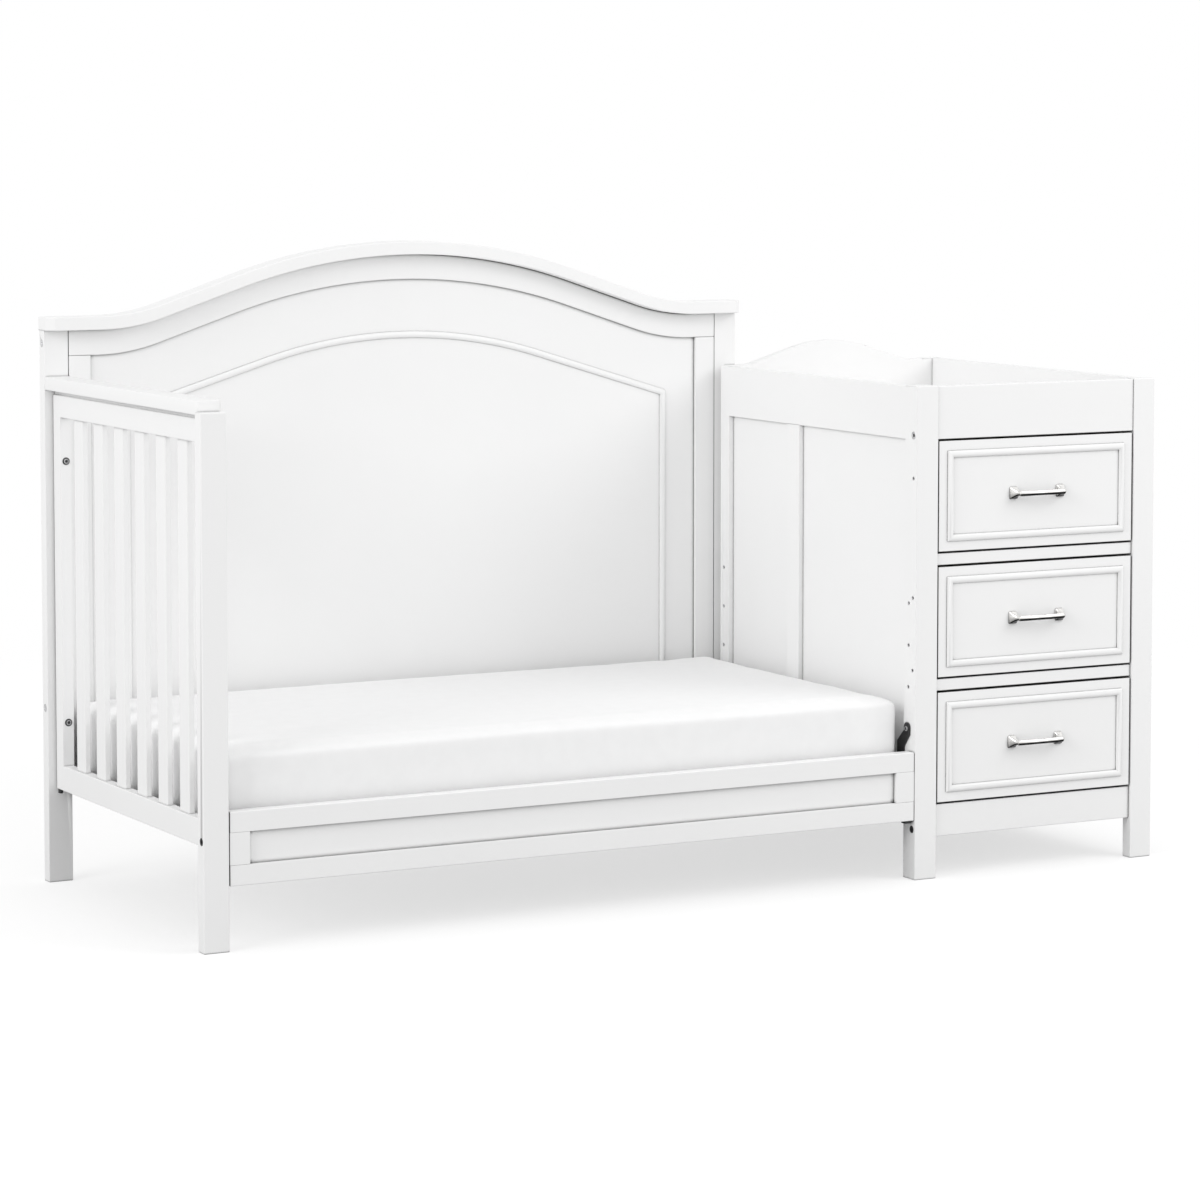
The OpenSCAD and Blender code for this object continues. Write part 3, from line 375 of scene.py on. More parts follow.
# %% Cotton sheet
THREAD = 0.0012
white_cotton, tree, shader = finish("white_cotton")
where = add(tree, "TexCoord").outputs["Object"]
split = add(tree, "SeparateXYZ", Vector=where)
threads = []
for axis in range(3):
    turns = maths(tree, "MULTIPLY", split.outputs[axis], 2 * math.pi / THREAD)
    threads.append(maths(tree, "SINE", turns))
weave = maths(tree, "ADD", maths(tree, "ADD", threads[0], threads[1]), threads[2])
slubs = stretched_noise(tree, 40.0, (1, 1, 1), 4.0)
dyed = ramp(tree, slubs, (0.905, 0.905, 0.906), (0.925, 0.925, 0.926))
tree.links.new(dyed, shader.inputs["Base Color"])
below = relief(tree, weave, 0.12, 0.0002)
tree.links.new(relief(tree, slubs, 0.05, 0.0006, below), shader.inputs["Normal"])
shader.inputs["Roughness"].default_value = 0.85
shader.inputs["Sheen Weight"].default_value = 0.15
shader.inputs["Sheen Roughness"].default_value = 0.5
print("finishes", len(bpy.data.materials))

# %% [markdown]
# ## Boards with softened edges
#
# No wooden edge is perfectly sharp. A router or sandpaper takes a millimetre or two off, and that
# narrow band is what catches the light and draws every outline of a white object. CAD boards are
# exact but sharp, so each is copied, its triangles are sewn together, and a bevel is laid on its
# free edges. Where two boards meet flush, the edge stays sharp or keeps only the fine line of the
# joint. Such an edge is found by a point just past it, which lies inside the neighbouring board.

# %% Sew the CAD boards
sewn, trees = {}, {}
for name, obj in nodes.items():
    bm = bmesh.new()
    bm.from_mesh(obj.data)
    bmesh.ops.remove_doubles(bm, verts=bm.verts, dist=1e-5)
    bmesh.ops.dissolve_limit(bm, angle_limit=math.radians(0.3), verts=bm.verts, edges=bm.edges)
    bm.normal_update()
    sewn[name] = bm
    trees[name] = (BVHTree.FromBMesh(bm), *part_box(name))
print("sewn", len(sewn), "nodes")

# %% Find the free edges
SKEW = Vector((0.437, 0.811, 0.389)).normalized()
STEP, SHORTEST, FLATTEST = 0.8 * MM, 6 * MM, math.radians(30)


def in_another(point, own):
    """True if point lies inside a board other than own: a ray from it then crosses the board's
    skin an odd number of times."""
    for name, (tree, low, high) in trees.items():
        if name == own or any(point[k] < low[k] or point[k] > high[k] for k in range(3)):
            continue
        crossings, start = 0, point
        while (hit := tree.ray_cast(start, SKEW)[0]) is not None:
            crossings += 1
            start = hit + SKEW * 1e-6
        if crossings % 2:
            return True
    return False


def is_free(edge, own):
    """True if no board lies flush beside the edge, tested a step past it on both of its faces."""
    a, b = (face.normal for face in edge.link_faces)
    first, last = (v.co for v in edge.verts)
    for t in (0.02, 0.25, 0.5, 0.75, 0.98):
        middle = first.lerp(last, t)
        if in_another(middle + STEP * (a - b), own) or in_another(middle + STEP * (b - a), own):
            return False
    return True


def eased(name, width, finish_with, joint=0.0):
    """A board's copy with its free edges rounded to width mm and its joints to joint mm."""
    bm = sewn[name].copy()
    weight = bm.edges.layers.float.new("bevel_weight_edge")
    for edge in bm.edges:
        if len(edge.link_faces) != 2 or not edge.is_convex:
            continue
        if edge.calc_length() < SHORTEST or edge.calc_face_angle() < FLATTEST:
            continue
        edge[weight] = 1.0 if is_free(edge, name) else joint / width
    mesh = bpy.data.meshes.new(name + "_eased")
    bm.to_mesh(mesh)
    bm.free()
    mesh.shade_smooth()
    mesh.set_sharp_from_angle(angle=math.radians(25))
    mesh.materials.clear()
    mesh.materials.append(finish_with)
    obj = bpy.data.objects.new(name + "_eased", mesh)
    scene.collection.objects.link(obj)
    bevel = obj.modifiers.new("eased edges", "BEVEL")
    bevel.limit_method = "WEIGHT"
    bevel.width = width * MM
    bevel.segments = 3
    bevel.use_clamp_overlap = False
    bevel.harden_normals = True
    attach(obj, nodes[name]["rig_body"])
    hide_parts(name)
    return obj


# %% [markdown]
# ### The boards, one list
#
# Each line gives a board's edge radius in millimetres, its paint, and the width of the fine line
# that is left at its joints. A paint is named after the direction of its grain, or "moulded"
# beside panels and mouldings that face the front, where the paint's painted corner shade is
# deepest.
# Slats and cap are rounded most, because hands pass over them. The edges of drawer fronts are only
# just broken.

# %% Ease the boards
BOARDS = {
    "headboard_left_post": (1.5, "z", 0.0),
    "headboard_right_post": (1.5, "z", 0.0),
    "headboard_cap": (2.0, "moulded", 0.0),
    "headboard_arch_rail": (1.8, "moulded", 1.8),
    "headboard_stiles": (1.4, "z", 1.2),
    "headboard_bottom_rail": (1.2, "x", 0.0),
    "end_front_leg": (1.8, "z", 0.0),
    "end_top_rail": (1.5, "y", 0.0),
    "end_stiles": (1.5, "z", 0.0),
    "end_slats": (2.5, "z", 0.0),
    "end_bottom_rail": (1.5, "y", 0.0),
    "daybed_top_rail": (1.6, "moulded", 1.0),
    "daybed_bottom_rail": (1.5, "moulded", 1.0),
    "daybed_stiles": (1.2, "z", 1.0),
    "changer_inner_front_leg": (1.6, "z", 0.0),
    "changer_inner_rear_leg": (2.0, "z", 0.0),
    "changer_outer_front_leg": (1.8, "z", 0.0),
    "changer_outer_rear_leg": (2.5, "z", 0.0),
    "changer_inner_side_rails": (1.5, "y", 0.0),
    "changer_outer_side_rails": (1.5, "y", 0.0),
    "changer_centre_stiles": (1.5, "z", 0.0),
    "changer_back_boards": (2.0, "x", 0.0),
    "changer_spacer": (1.0, "z", 0.0),
    "changer_front_top_rail": (1.5, "moulded", 1.5),
    "changer_dividers": (1.5, "moulded", 1.5),
    "changer_apron": (1.5, "moulded", 1.5),
    "drawer_1_front": (0.9, "moulded", 0.0),
    "drawer_2_front": (0.9, "moulded", 0.0),
    "drawer_3_front": (0.9, "moulded", 0.0),
}
for name, (radius, coat, joint) in BOARDS.items():
    eased(name, radius, paint[coat], joint)
for n in "123":
    eased(f"drawer_{n}_sides", 1.0, wood["y"])
    eased(f"drawer_{n}_back", 1.0, wood["x"])
eased("support_frame", 0.6, black_steel)
print("eased", len(BOARDS) + 7, "boards")

# %% [markdown]
# Between a frame and its posts the drawing leaves a gap of 2 mm for the paint and the fittings.
# Pulled up by its bolts, a joint closes. The headboard's keep about half of the gap, and the front
# rail is drawn up tight to the changer. So the ends of these boards reach a little farther here.

# %% Close the joints
REACHED = {
    "headboard_arch_rail": (-1.0, 1.0), "headboard_stiles": (-1.0, 1.0),
    "daybed_top_rail": (0.0, 1.6), "daybed_bottom_rail": (0.0, 1.6), "daybed_stiles": (0.0, 1.6),
}
for name, moves in REACHED.items():
    mesh = bpy.data.objects[name + "_eased"].data
    skin = points_of(mesh)
    along = (skin[:, 0] - CORNER[0]) / MM
    for end, move in zip((along.min(), along.max()), moves):
        skin[np.abs(along - end) < 0.2, 0] += move * MM
    mesh.vertices.foreach_set("co", skin.ravel())
    mesh.update()
print("reached", len(REACHED), "boards to their posts")

# %% [markdown]
# ### Boards that stay as drawn
#
# Panels sit in grooves, so their edges are never seen. They keep their CAD shape and only take
# the right finish, as do the tray's deck, the bottoms and the runners with their cleats.

# %% Finish the kept boards
KEPT = {
    "headboard_panel": paint["moulded"], "daybed_panel": paint["moulded"],
    "changer_inner_side_panels": paint["z"], "changer_outer_side_panels": paint["z"],
    "changer_back_panel": paint["x"], "changer_tray_deck": paint["y"],
    "changer_bottom_panel": paint["y"], "changer_runner_cleats": wood["y"],
    "changer_runners": black_steel,
    **{f"drawer_{n}_bottom": wood["y"] for n in "123"},
}
for name, finish_with in KEPT.items():
    mesh = nodes[name].data
    mesh.materials.clear()
    mesh.materials.append(finish_with)
print("kept", len(KEPT), "nodes")

# %% [markdown]
# ## A profile carried along a path
#
# The bead on the headboard and the frames on the drawers are strips of moulding with mitred
# corners. Such a strip is one small outline, the profile, carried round a path. At each point of
# the path the profile is turned to face outward, and at a corner it is stretched along the mitre,
# so that the strip keeps its width.


# %% Mitred strips
def mitres(path):
    """Outward directions of a closed counter-clockwise path in a plane. At each point it is the
    sum of the normals of its two sides, over one plus their dot product, which is exactly the
    direction and length that keeps both sides' offset equal to one."""
    side = np.roll(path, -1, 0) - path
    side /= np.linalg.norm(side, axis=1, keepdims=True)
    normal = np.stack([side[:, 1], -side[:, 0]], 1)
    before = np.roll(normal, 1, 0)
    return (normal + before) / (1 + (normal * before).sum(1, keepdims=True))


def strip(path, profile, back_y):
    """Carries profile, rows of (distance outward, height off the wood), round a closed path of
    (x, z), on wood whose face is at back_y. Point (i, j) is path i plus mitre i times distance j,
    and it stands height j in front of the wood. All in mm of the drawing."""
    out = mitres(path)
    flat = path[:, None, :] + out[:, None, :] * profile[None, :, :1]
    depth = np.broadcast_to(back_y - profile[None, :, 1], flat.shape[:2])
    points = np.stack([flat[..., 0], depth, flat[..., 1]], -1)
    return placed(points).reshape(-1, 3), quads(*flat.shape[:2], close_rows=True)


def arc(centre, radii, start, end, steps):
    """Points of an ellipse's arc between two angles in degrees."""
    t = np.radians(np.linspace(start, end, steps + 1))[:, None]
    return np.array(centre) + np.array(radii) * np.hstack([np.cos(t), np.sin(t)])


# %% [markdown]
# ### Bead on the headboard
#
# A half-round bead frames the headboard's field. Its top repeats the arch, but flatter: a crown
# of 940 mm radius that runs out into straight slopes of 17 degrees.

# %% Bead
HEAD_X = 701.5
BEAD_HALF, BEAD_PEAK, BEAD_FOOT, BEAD_RADIUS, BEAD_SLOPE = 537.5, 946.5, 300.0, 940.0, 17.0
PANEL_Y = 715.0
crown = arc((HEAD_X, BEAD_PEAK - BEAD_RADIUS), (BEAD_RADIUS, BEAD_RADIUS), 90 - BEAD_SLOPE,
            90 + BEAD_SLOPE, 48)
shoulder = crown[0, 1] - (BEAD_HALF - (crown[0, 0] - HEAD_X)) * math.tan(math.radians(BEAD_SLOPE))
bead_path = np.vstack([[(HEAD_X - BEAD_HALF, BEAD_FOOT), (HEAD_X + BEAD_HALF, BEAD_FOOT),
                        (HEAD_X + BEAD_HALF, shoulder)], crown, [(HEAD_X - BEAD_HALF, shoulder)]])
half_round = arc((6, 0), (6, 5), 180, 0, 14)
bead = piece("headboard_bead_round", strip(bead_path, half_round, PANEL_Y), paint["moulded"],
             "crib", 50)
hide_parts("headboard_bead")
print("bead", len(bead.data.polygons), "faces")

# %% [markdown]
# ### Frames on the drawer fronts
#
# Each drawer front carries a picture-frame moulding. Its profile is a low dome between two small
# square edges. On the level sides the dome's upper half catches the light, and the square edge
# below it leaves a thin dark line: real shade, deepened by the shade that the moulded paint paints
# into the corner.

# %% Drawer mouldings
MOULDING, SQUARE, DOME_RISE, DOME_MIDDLE, DOME_HALF = 15.0, 2.0, 3.9, 8.95, 5.75
dome = np.linspace(3.2, 14.7, 15)
panel_moulding = np.vstack([
    [(2.8, 0.0), (2.8, 1.5), (2.9, 1.8)],
    np.column_stack([dome, SQUARE + DOME_RISE * (1 - ((dome - DOME_MIDDLE) / DOME_HALF) ** 2)]),
    [(14.9, 1.8), (15.0, 1.5), (15.0, 0.0)],
])
for n in "123":
    low, high = drawn(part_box(f"drawer_{n}_moulding"))
    x0, x1, z0, z1 = low[0] + MOULDING, high[0] - MOULDING, low[2] + MOULDING, high[2] - MOULDING
    inner = np.array([(x0, z0), (x1, z0), (x1, z1), (x0, z1)])
    made = piece(f"drawer_{n}_panel_moulding", strip(inner, panel_moulding, high[1]),
                 paint["moulded"], f"drawer_{n}", 50)
    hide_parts(f"drawer_{n}_moulding")
print("moulding profile", len(panel_moulding), "points")

# %% [markdown]
# ## Rounded blocks
#
# The arm cap, a handle's foot and a small clip are all a rounded rectangle that changes as it
# goes along: it starts a little smaller, swells to full size and closes again, which rounds the
# long edges, while its corners have a radius of their own.


# %% Rings of rounded rectangles
CORNER_POINTS = 6
RING_POINTS = 4 * CORNER_POINTS


def ring(x, y, radii):
    """Outline of the rectangle x[0]..x[1] by y[0]..y[1]. Each corner is a quarter circle with its
    own radius, in the order right back, left back, left front, right front."""
    corners = ((x[1], y[1], -1, -1, 0), (x[0], y[1], 1, -1, 90), (x[0], y[0], 1, 1, 180),
               (x[1], y[0], -1, 1, 270))
    return np.vstack([arc((cx + sx * r, cy + sy * r), (r, r), turn, turn + 90, CORNER_POINTS - 1)
                      for (cx, cy, sx, sy, turn), r in zip(corners, radii)])


def stack(x, y, radii, least, inset, height):
    """Rounded rectangles over each other. Ring i lies at height i and is drawn in by inset i. Its
    corner radii shrink by as much, but not below least. All in mm."""
    outlines = [ring((x[0] + d, x[1] - d), (y[0] + d, y[1] - d), [max(r - d, least) for r in radii])
                for d in inset]
    return tube(placed(np.stack([np.column_stack([outline, np.full(RING_POINTS, h)])
                                 for outline, h in zip(outlines, height)])))


def block(x, y, z, radii, low_edge, high_edge):
    """A board lying in x, y and z. Its rings are drawn in by the amount that a quarter circle of
    radius low_edge or high_edge gives at their height."""
    t = np.radians(np.linspace(0, 90, CORNER_POINTS))
    inset = np.concatenate([low_edge * (1 - np.sin(t)), high_edge * (1 - np.cos(t))])
    height = np.concatenate([z[0] + low_edge * (1 - np.cos(t)), z[1] - high_edge * (1 - np.sin(t))])
    return stack(x, y, radii, 0.05, inset, height)


# %% Arm cap
# Its rear end runs 3 mm into the post, so no rounded edge shows there.
low, high = drawn(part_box("end_arm_cap"))
plank = block((low[0], high[0]), (low[1], high[1] + 3), (low[2], high[2]),
              (0.5, 0.5, 8.0, 8.0), 1.0, 1.8)
arm = piece("end_arm_cap_rounded", plank, paint["y"], "crib", 30)
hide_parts("end_arm_cap")
print("arm cap", np.round(high - low, 1), "mm")

# %% [markdown]
# ## Handles
#
# Each drawer has a bow handle with two pyramid feet. A foot is a stack of rounded rectangles
# whose size falls quickly at first and slowly later, so its four sides are slightly hollow. The
# bar is a row of ellipses. It bows forward in the middle, and its ends are closed by quarter
# circles.

# %% Handles
FACE, REACH, BOW, PITCH = 2.0, 26.5, 4.0, 100.0
PLATE, PLATE_HALF, NECK_HALF, FLARE = 3.0, (8.0, 10.8), (2.8, 3.4), (4.9, 7.0)
CHAMFER, TAPER, LEAN = (0.25, 0.4), 16.0, 3.0
BAR_HALF, BAR_END, SLIMMER, SCREW_PLACE = (3.5, 5.0), 3.0, 0.12, 22.0


def foot(x, z, inward):
    """A pyramid foot on the drawer face at x, z. Ring i stands depth i off the face. Up to the
    plate's thickness it has the plate's half width, less a chamfer. From there its half width is
    the neck's plus the flare, times one less the share of the way, to the power 1.5. The neck
    leans by inward mm to the handle's middle."""
    depth = np.array([0.0, 1.6, 2.3, 2.7, 3.0, 4.5, 6.5, 9.0, 12.0, 15.0, 18.0, 21.5])
    swell = (1 - np.clip((depth - PLATE) / TAPER, 0, 1)) ** 1.5
    half_x, half_z = (np.where(depth < PLATE, plate, neck + flare * swell)
                      for plate, neck, flare in zip(PLATE_HALF, NECK_HALF, FLARE))
    half_x[2:4] -= CHAMFER
    half_z[2:4] -= CHAMFER
    lean = inward * np.clip((depth - 7) / 12, 0, 1)
    rings = [ring((-a, a), (-b, b), (min(1.2 + d * 0.1, a * 0.8),) * 4)
             for a, b, d in zip(half_x, half_z, depth)]
    points = [np.column_stack([x + a + r[:, 0], np.full(RING_POINTS, FACE - d), z + r[:, 1]])
              for r, d, a in zip(rings, depth, lean)]
    return tube(placed(np.stack(points)))


def bar(x, z):
    """The bar in front of x, z. Its axis is a parabola, and its section is an ellipse of 7 by
    10 mm, 12% slimmer in the middle and closed at both ends like a quarter circle."""
    half = PITCH / 2 - 0.5
    t = np.radians(np.linspace(0, 90, CORNER_POINTS))
    end, rising = BAR_END * (1 - np.cos(t)), 0.35 + 0.65 * np.sin(t)
    along = np.concatenate([end - half, np.linspace(-half, half, 23)[2:-2], half - end[::-1]])
    size = np.concatenate([rising, np.ones(len(along) - 2 * CORNER_POINTS), rising[::-1]])
    size *= 1 - SLIMMER * np.cos(np.pi * along / (2 * half)) ** 2
    axis = FACE - REACH + BAR_HALF[0] + BOW * (along / half) ** 2
    section = arc((0, 0), BAR_HALF, 0, 345, RING_POINTS - 1)
    points = [np.column_stack([np.full(RING_POINTS, x + a), y + s * section[:, 0],
                               z + s * section[:, 1]]) for a, y, s in zip(along, axis, size)]
    return tube(placed(np.stack(points)))


def turned(centre, towards, profile, hexagon=()):
    """A turned part: rows of (radius, height) spun round an axis through centre. Rows named in
    hexagon follow a hexagon instead of a circle: radius over the cosine of the angle to the
    nearest flat's middle."""
    angle = np.arange(RING_POINTS) * 2 * np.pi / RING_POINTS
    flat = 1 / np.cos((angle + np.pi / 6) % (np.pi / 3) - np.pi / 6)
    axis = Vector(towards).normalized()
    across = np.array(axis.orthogonal().normalized())
    axis = np.array(axis)
    other = np.cross(axis, across)
    rows = []
    for k, (radius, height) in enumerate(profile):
        reach = radius * (flat if k in hexagon else np.ones(RING_POINTS))
        rows.append(np.array(centre) + height * axis + reach[:, None] * (
            np.cos(angle)[:, None] * across + np.sin(angle)[:, None] * other))
    return tube(placed(np.stack(rows)))


pan_head = [(2.0, -26.0), (2.0, 0.0), (4.0, 0.0), (4.0, 0.9), (3.3, 1.7), (1.6, 2.0), (1.4, 1.0),
            (0.05, 0.9)]
for n in "123":
    low, high = drawn(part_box(f"drawer_{n}_handle"))
    x, z = (low[0] + high[0]) / 2, (low[2] + high[2]) / 2
    parts = [bar(x, z)]
    for side in (-1, 1):
        foot_x = x + side * PITCH / 2
        screw = turned((foot_x, SCREW_PLACE, z), (0, 1, 0), pan_head)
        parts += [foot(foot_x, z, -side * LEAN), screw]
    made = piece(f"drawer_{n}_bow_handle", joined(parts), satin_nickel,
                 f"drawer_{n}", 35)
    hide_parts(f"drawer_{n}_handle")
print("handle", len(made.data.polygons), "faces")

# %% [markdown]
# ## Bolts and threaded sleeves
#
# The joints are pulled up with hexagon-socket bolts, most of them black. Those that stand proud
# have a zinc-plated head on a black washer. The row of spare holes lets the parent bolt the
# mattress support higher, or fit a full rail. Each spare hole has a threaded sleeve just inside.

# %% Bolts
INNER_LEFT, INNER_RIGHT = 36, 1360
sunk = [(3.0, -50.0), (3.0, -2.5), (6.5, -2.5), (6.5, -0.7), (5.9, -0.1), (3.6, -0.1),
        (3.2, -0.5), (3.2, -2.0), (0.05, -2.0)]
washer = [(3.1, 0.0), (6.5, 0.0), (6.5, 0.7), (6.2, 1.0), (3.1, 1.0)]
proud = [(3.0, -40.0), (3.0, 1.0), (4.3, 1.0), (4.3, 2.0), (4.0, 2.5), (3.1, 2.5), (2.9, 2.2),
         (2.9, 1.2), (0.05, 1.2)]
# socket: a black ring inside each proud zinc head's socket, shade painted into the hollow.
socket = [(1.4, 1.3), (2.85, 1.3), (2.85, 1.9), (1.4, 1.9)]
short = [(3.0, -11.0), *proud[1:]]
plug = [(3.0, -50.0), (3.0, -2.4), (6.5, -2.4), (6.5, -0.5), (6.0, -0.1), (2.6, -0.05),
        (2.3, -0.4), (2.3, -1.6), (0.05, -1.6)]
# A black ring inside the socket of the zinc bolt at RING_BOLT, shade painted into the hollow.
painted_socket_shade = [(1.4, -1.9), (3.1, -1.9), (3.1, -1.0), (1.4, -1.0)]
SOCKET, PLUG_SOCKET = (6, 7), (5, 6)
SUNK_BOLTS = [((0, 9, 183), -1), ((1405, 9, 183), 1), ((INNER_RIGHT, 11, 90), -1)]
RING_BOLT = (INNER_RIGHT, 11, 791)
POST_BOLTS = [((2, 720, 954.75), -1), ((2, 720, 310), -1), ((1401, 720, 954.75), 1),
              ((1401, 720, 310), 1)]
PROUD_BOLTS = [*(((26, 670, z), (0, -1, 0), proud) for z in (750, 289)),
               *(((26, 55, z), (0, 1, 0), proud) for z in (750, 289)),
               *(((1389, 659, z), (0, -1, 0), proud) for z in (280, 663)),
               *(((39, y, 269), (1, 0, 0), short) for y in (40, 684.5)),
               *(((1357, y, 269), (-1, 0, 0), short) for y in (24, 678))]
parts = [turned(place, (way, 0, 0), sunk, hexagon=SOCKET) for place, way in SUNK_BOLTS]
parts += [turned(place, towards, shape) for place, towards, _ in PROUD_BOLTS
          for shape in (washer, socket)]
parts.append(turned(RING_BOLT, (-1, 0, 0), painted_socket_shade))
bolts = piece("socket_head_bolts", joined(parts), black_steel, "crib", 35)
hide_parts("assembly_bolts")
parts = [turned(place, (way, 0, 0), plug, hexagon=PLUG_SOCKET) for place, way in POST_BOLTS]
parts.append(turned(RING_BOLT, (-1, 0, 0), sunk, hexagon=SOCKET))
parts += [turned(place, towards, head, hexagon=SOCKET) for place, towards, head in PROUD_BOLTS]
piece("zinc_plated_bolts", joined(parts), steel_grey, "crib", 35)
print(len(bolts.data.polygons), "faces of black bolts")

# %% Sleeves in the spare holes
sleeve = [(3.4, -10.0), (3.4, -0.7), (3.1, -0.4), (2.5, -0.4), (2.2, -0.7), (2.2, -9.5),
          (0.05, -9.5)]
parts = [turned((INNER_RIGHT, 11, z), (-1, 0, 0), sleeve) for z in (715, 503, 374)]
for z in (343.5, 418, 492.5):
    parts += [turned((INNER_RIGHT, y, z), (-1, 0, 0), sleeve) for y in (24, 678)]
    parts += [turned((INNER_LEFT, y, z), (1, 0, 0), sleeve) for y in (40, 684.5)]
sleeves = piece("threaded_sleeves", joined(parts), steel_grey, "crib", 35)
print(len(sleeves.data.polygons), "faces of", len(parts), "sleeves")

# %% [markdown]
# ## Brackets of the mattress support
#
# Four brackets of flat steel carry the support frame. Each is cut with a round end for its bolt
# and bent under the frame. Seen flat, it is a bar that follows a line, so it is drawn as an
# offset to both sides of that line with half a circle over its end.


# %% Brackets
def offset_bar(line, half):
    """Outline of a bar that is half[i] wide to each side of point i of a line of (y, z), closed by
    a half circle over its last point. Where the line turns, the offset follows the mitre."""
    line = np.array(line, float)
    side = np.diff(line, axis=0)
    side /= np.linalg.norm(side, axis=1, keepdims=True)
    normal = np.stack([side[:, 1], -side[:, 0]], 1)
    first, last = np.vstack([normal[:1], normal]), np.vstack([normal, normal[-1:]])
    out = np.array(half)[:, None] * (first + last) / (1 + (first * last).sum(1, keepdims=True))
    turn = math.degrees(math.atan2(normal[-1, 1], normal[-1, 0]))
    cap = arc(line[-1], (half[-1], half[-1]), turn, turn + 180, 12)
    return np.vstack([(line + out)[:-1], cap, (line - out)[:-1][::-1]])


def plate(outline, x0, x1):
    """A flat steel plate: the outline at x0 and at x1, drawn in by 0.4 mm at both faces."""
    inward = -mitres(outline) * 0.4
    rows = [(x0, inward), (x0 + 0.4, 0), (x1 - 0.4, 0), (x1, inward)]
    points = np.stack([np.column_stack([np.full(len(outline), x), outline + d]) for x, d in rows])
    return tube(placed(points))


STEEL, SHELF, UNDER = 3, 24, 162
parts = []
for x0, way, tab, stem in ((INNER_LEFT, 1, 40, 40), (INNER_LEFT, 1, 684.5, 684.5),
                           (INNER_RIGHT, -1, 25, 45), (INNER_RIGHT, -1, 678, 678)):
    line = [(stem, UNDER), (stem, 240), (tab, 262), (tab, 271)]
    parts.append(plate(offset_bar(line, (11, 11, 9, 9)), *sorted((x0, x0 + way * STEEL))))
    parts.append(block(sorted((x0, x0 + way * SHELF)), (stem - 12, stem + 12),
                       (UNDER, UNDER + STEEL), (3, 3, 3, 3), 0.4, 0.4))
brackets = piece("hook_brackets", joined(parts), black_steel, "crib", 35)
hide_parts("support_brackets")

clips = [block((1343, 1357), (6, 20), (102, 106.8), (2, 2, 2, 2), 0.5, 0.5),
         block((17, 24), (692, 703), (160, 167.8), (3, 3, 3, 3), 1.5, 0.5)]
piece("corner_clips", joined(clips), black_steel, "crib", 35)
print("brackets", len(brackets.data.polygons), "faces")

# %% [markdown]
# ## Spring wires
#
# Under the mattress a net of wires hangs in the steel frame on small coil springs. A wire is a
# circle carried along a line, and so is a spring, whose line is a helix. The circle's plane is
# spanned by two directions that are square to the line: one is the line's direction crossed with
# a fixed one, the other follows from the first.


# %% Springs
def wire(line, radius, sides=8, fixed=(0, 0, 1)):
    """A round wire of the given radius along a line of points in mm."""
    along = np.gradient(line, axis=0)
    along /= np.linalg.norm(along, axis=1, keepdims=True)
    across = np.cross(along, fixed)
    across /= np.linalg.norm(across, axis=1, keepdims=True)
    other = np.cross(across, along)
    angle = np.arange(sides) * 2 * np.pi / sides
    points = line[:, None] + radius * (np.cos(angle)[None, :, None] * across[:, None]
                                       + np.sin(angle)[None, :, None] * other[:, None])
    return tube(placed(points))


COIL, TURNS, COIL_R, WIRE_Z, CROSSING = 42.0, 9, 4.2, 182.5, 3.0
WIRE_R, COIL_WIRE_R = 1.8, 1.1
FRAME_X, FRAME_Y = (63.0, 1333.0), (49.3, 684.7)


def coil(start, step):
    """A helix from start to start plus step, with TURNS turns round its own axis. The wire's fixed
    direction leans a little along that axis, so that it is never parallel to the helix."""
    t = np.linspace(0, 1, TURNS * 10 + 1)
    step = np.array(step, float)
    sideways = np.array([step[1], step[0], 0]) / np.linalg.norm(step)
    turn = 2 * np.pi * TURNS * t[:, None]
    round_it = np.cos(turn) * sideways + np.sin(turn) * np.array([0, 0, 1])
    line = np.array(start) + t[:, None] * step + COIL_R * round_it
    return wire(line, COIL_WIRE_R, 5, fixed=np.cross(step / COIL, sideways) + 0.3 * step / COIL)


parts = []
left, right = FRAME_X[0] + COIL, FRAME_X[1] - COIL
front, back = FRAME_Y[0] + COIL, FRAME_Y[1] - COIL
for k in range(1, 7):
    y = FRAME_Y[0] + (FRAME_Y[1] - FRAME_Y[0]) * k / 7
    parts.append(wire(np.linspace((left, y, WIRE_Z), (right, y, WIRE_Z), 4), WIRE_R))
    parts += [coil((left, y, WIRE_Z), (-COIL, 0, 0)), coil((right, y, WIRE_Z), (COIL, 0, 0))]
high_z = WIRE_Z + CROSSING
for k in range(1, 10):
    x = FRAME_X[0] + (FRAME_X[1] - FRAME_X[0]) * k / 10
    parts.append(wire(np.linspace((x, front, high_z), (x, back, high_z), 4), WIRE_R))
    parts += [coil((x, front, WIRE_Z), (0, -COIL, 0)), coil((x, back, WIRE_Z), (0, COIL, 0))]
springs = piece("spring_wires", joined(parts), black_steel, "crib", 60)
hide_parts("support_springs")
print("springs", len(springs.data.polygons), "faces")

# %% [markdown]
# ## Mattress
#
# A foam mattress in a fitted sheet has soft, slightly swollen sides, a crown on top, and rounded
# corners over which the sheet is pulled in a few fine creases. It starts from a stack of rounded
# rectangles, a little smaller than the real one. Then cloth simulation blows it up: air pressure
# pushes the skin out while its threads hold it back, which gives the even swell of a stuffed
# cover. How far any point may move is capped, so the mattress still fits between the rails.

# %% Mattress form
MATTRESS_X, MATTRESS_Y, MATTRESS_Z = (41.8, 1354.0), (28.5, 704.5), (189.4, 326.3)
EDGE_LOW, EDGE_HIGH, CROWN = 26.0, 9.0, 5.0


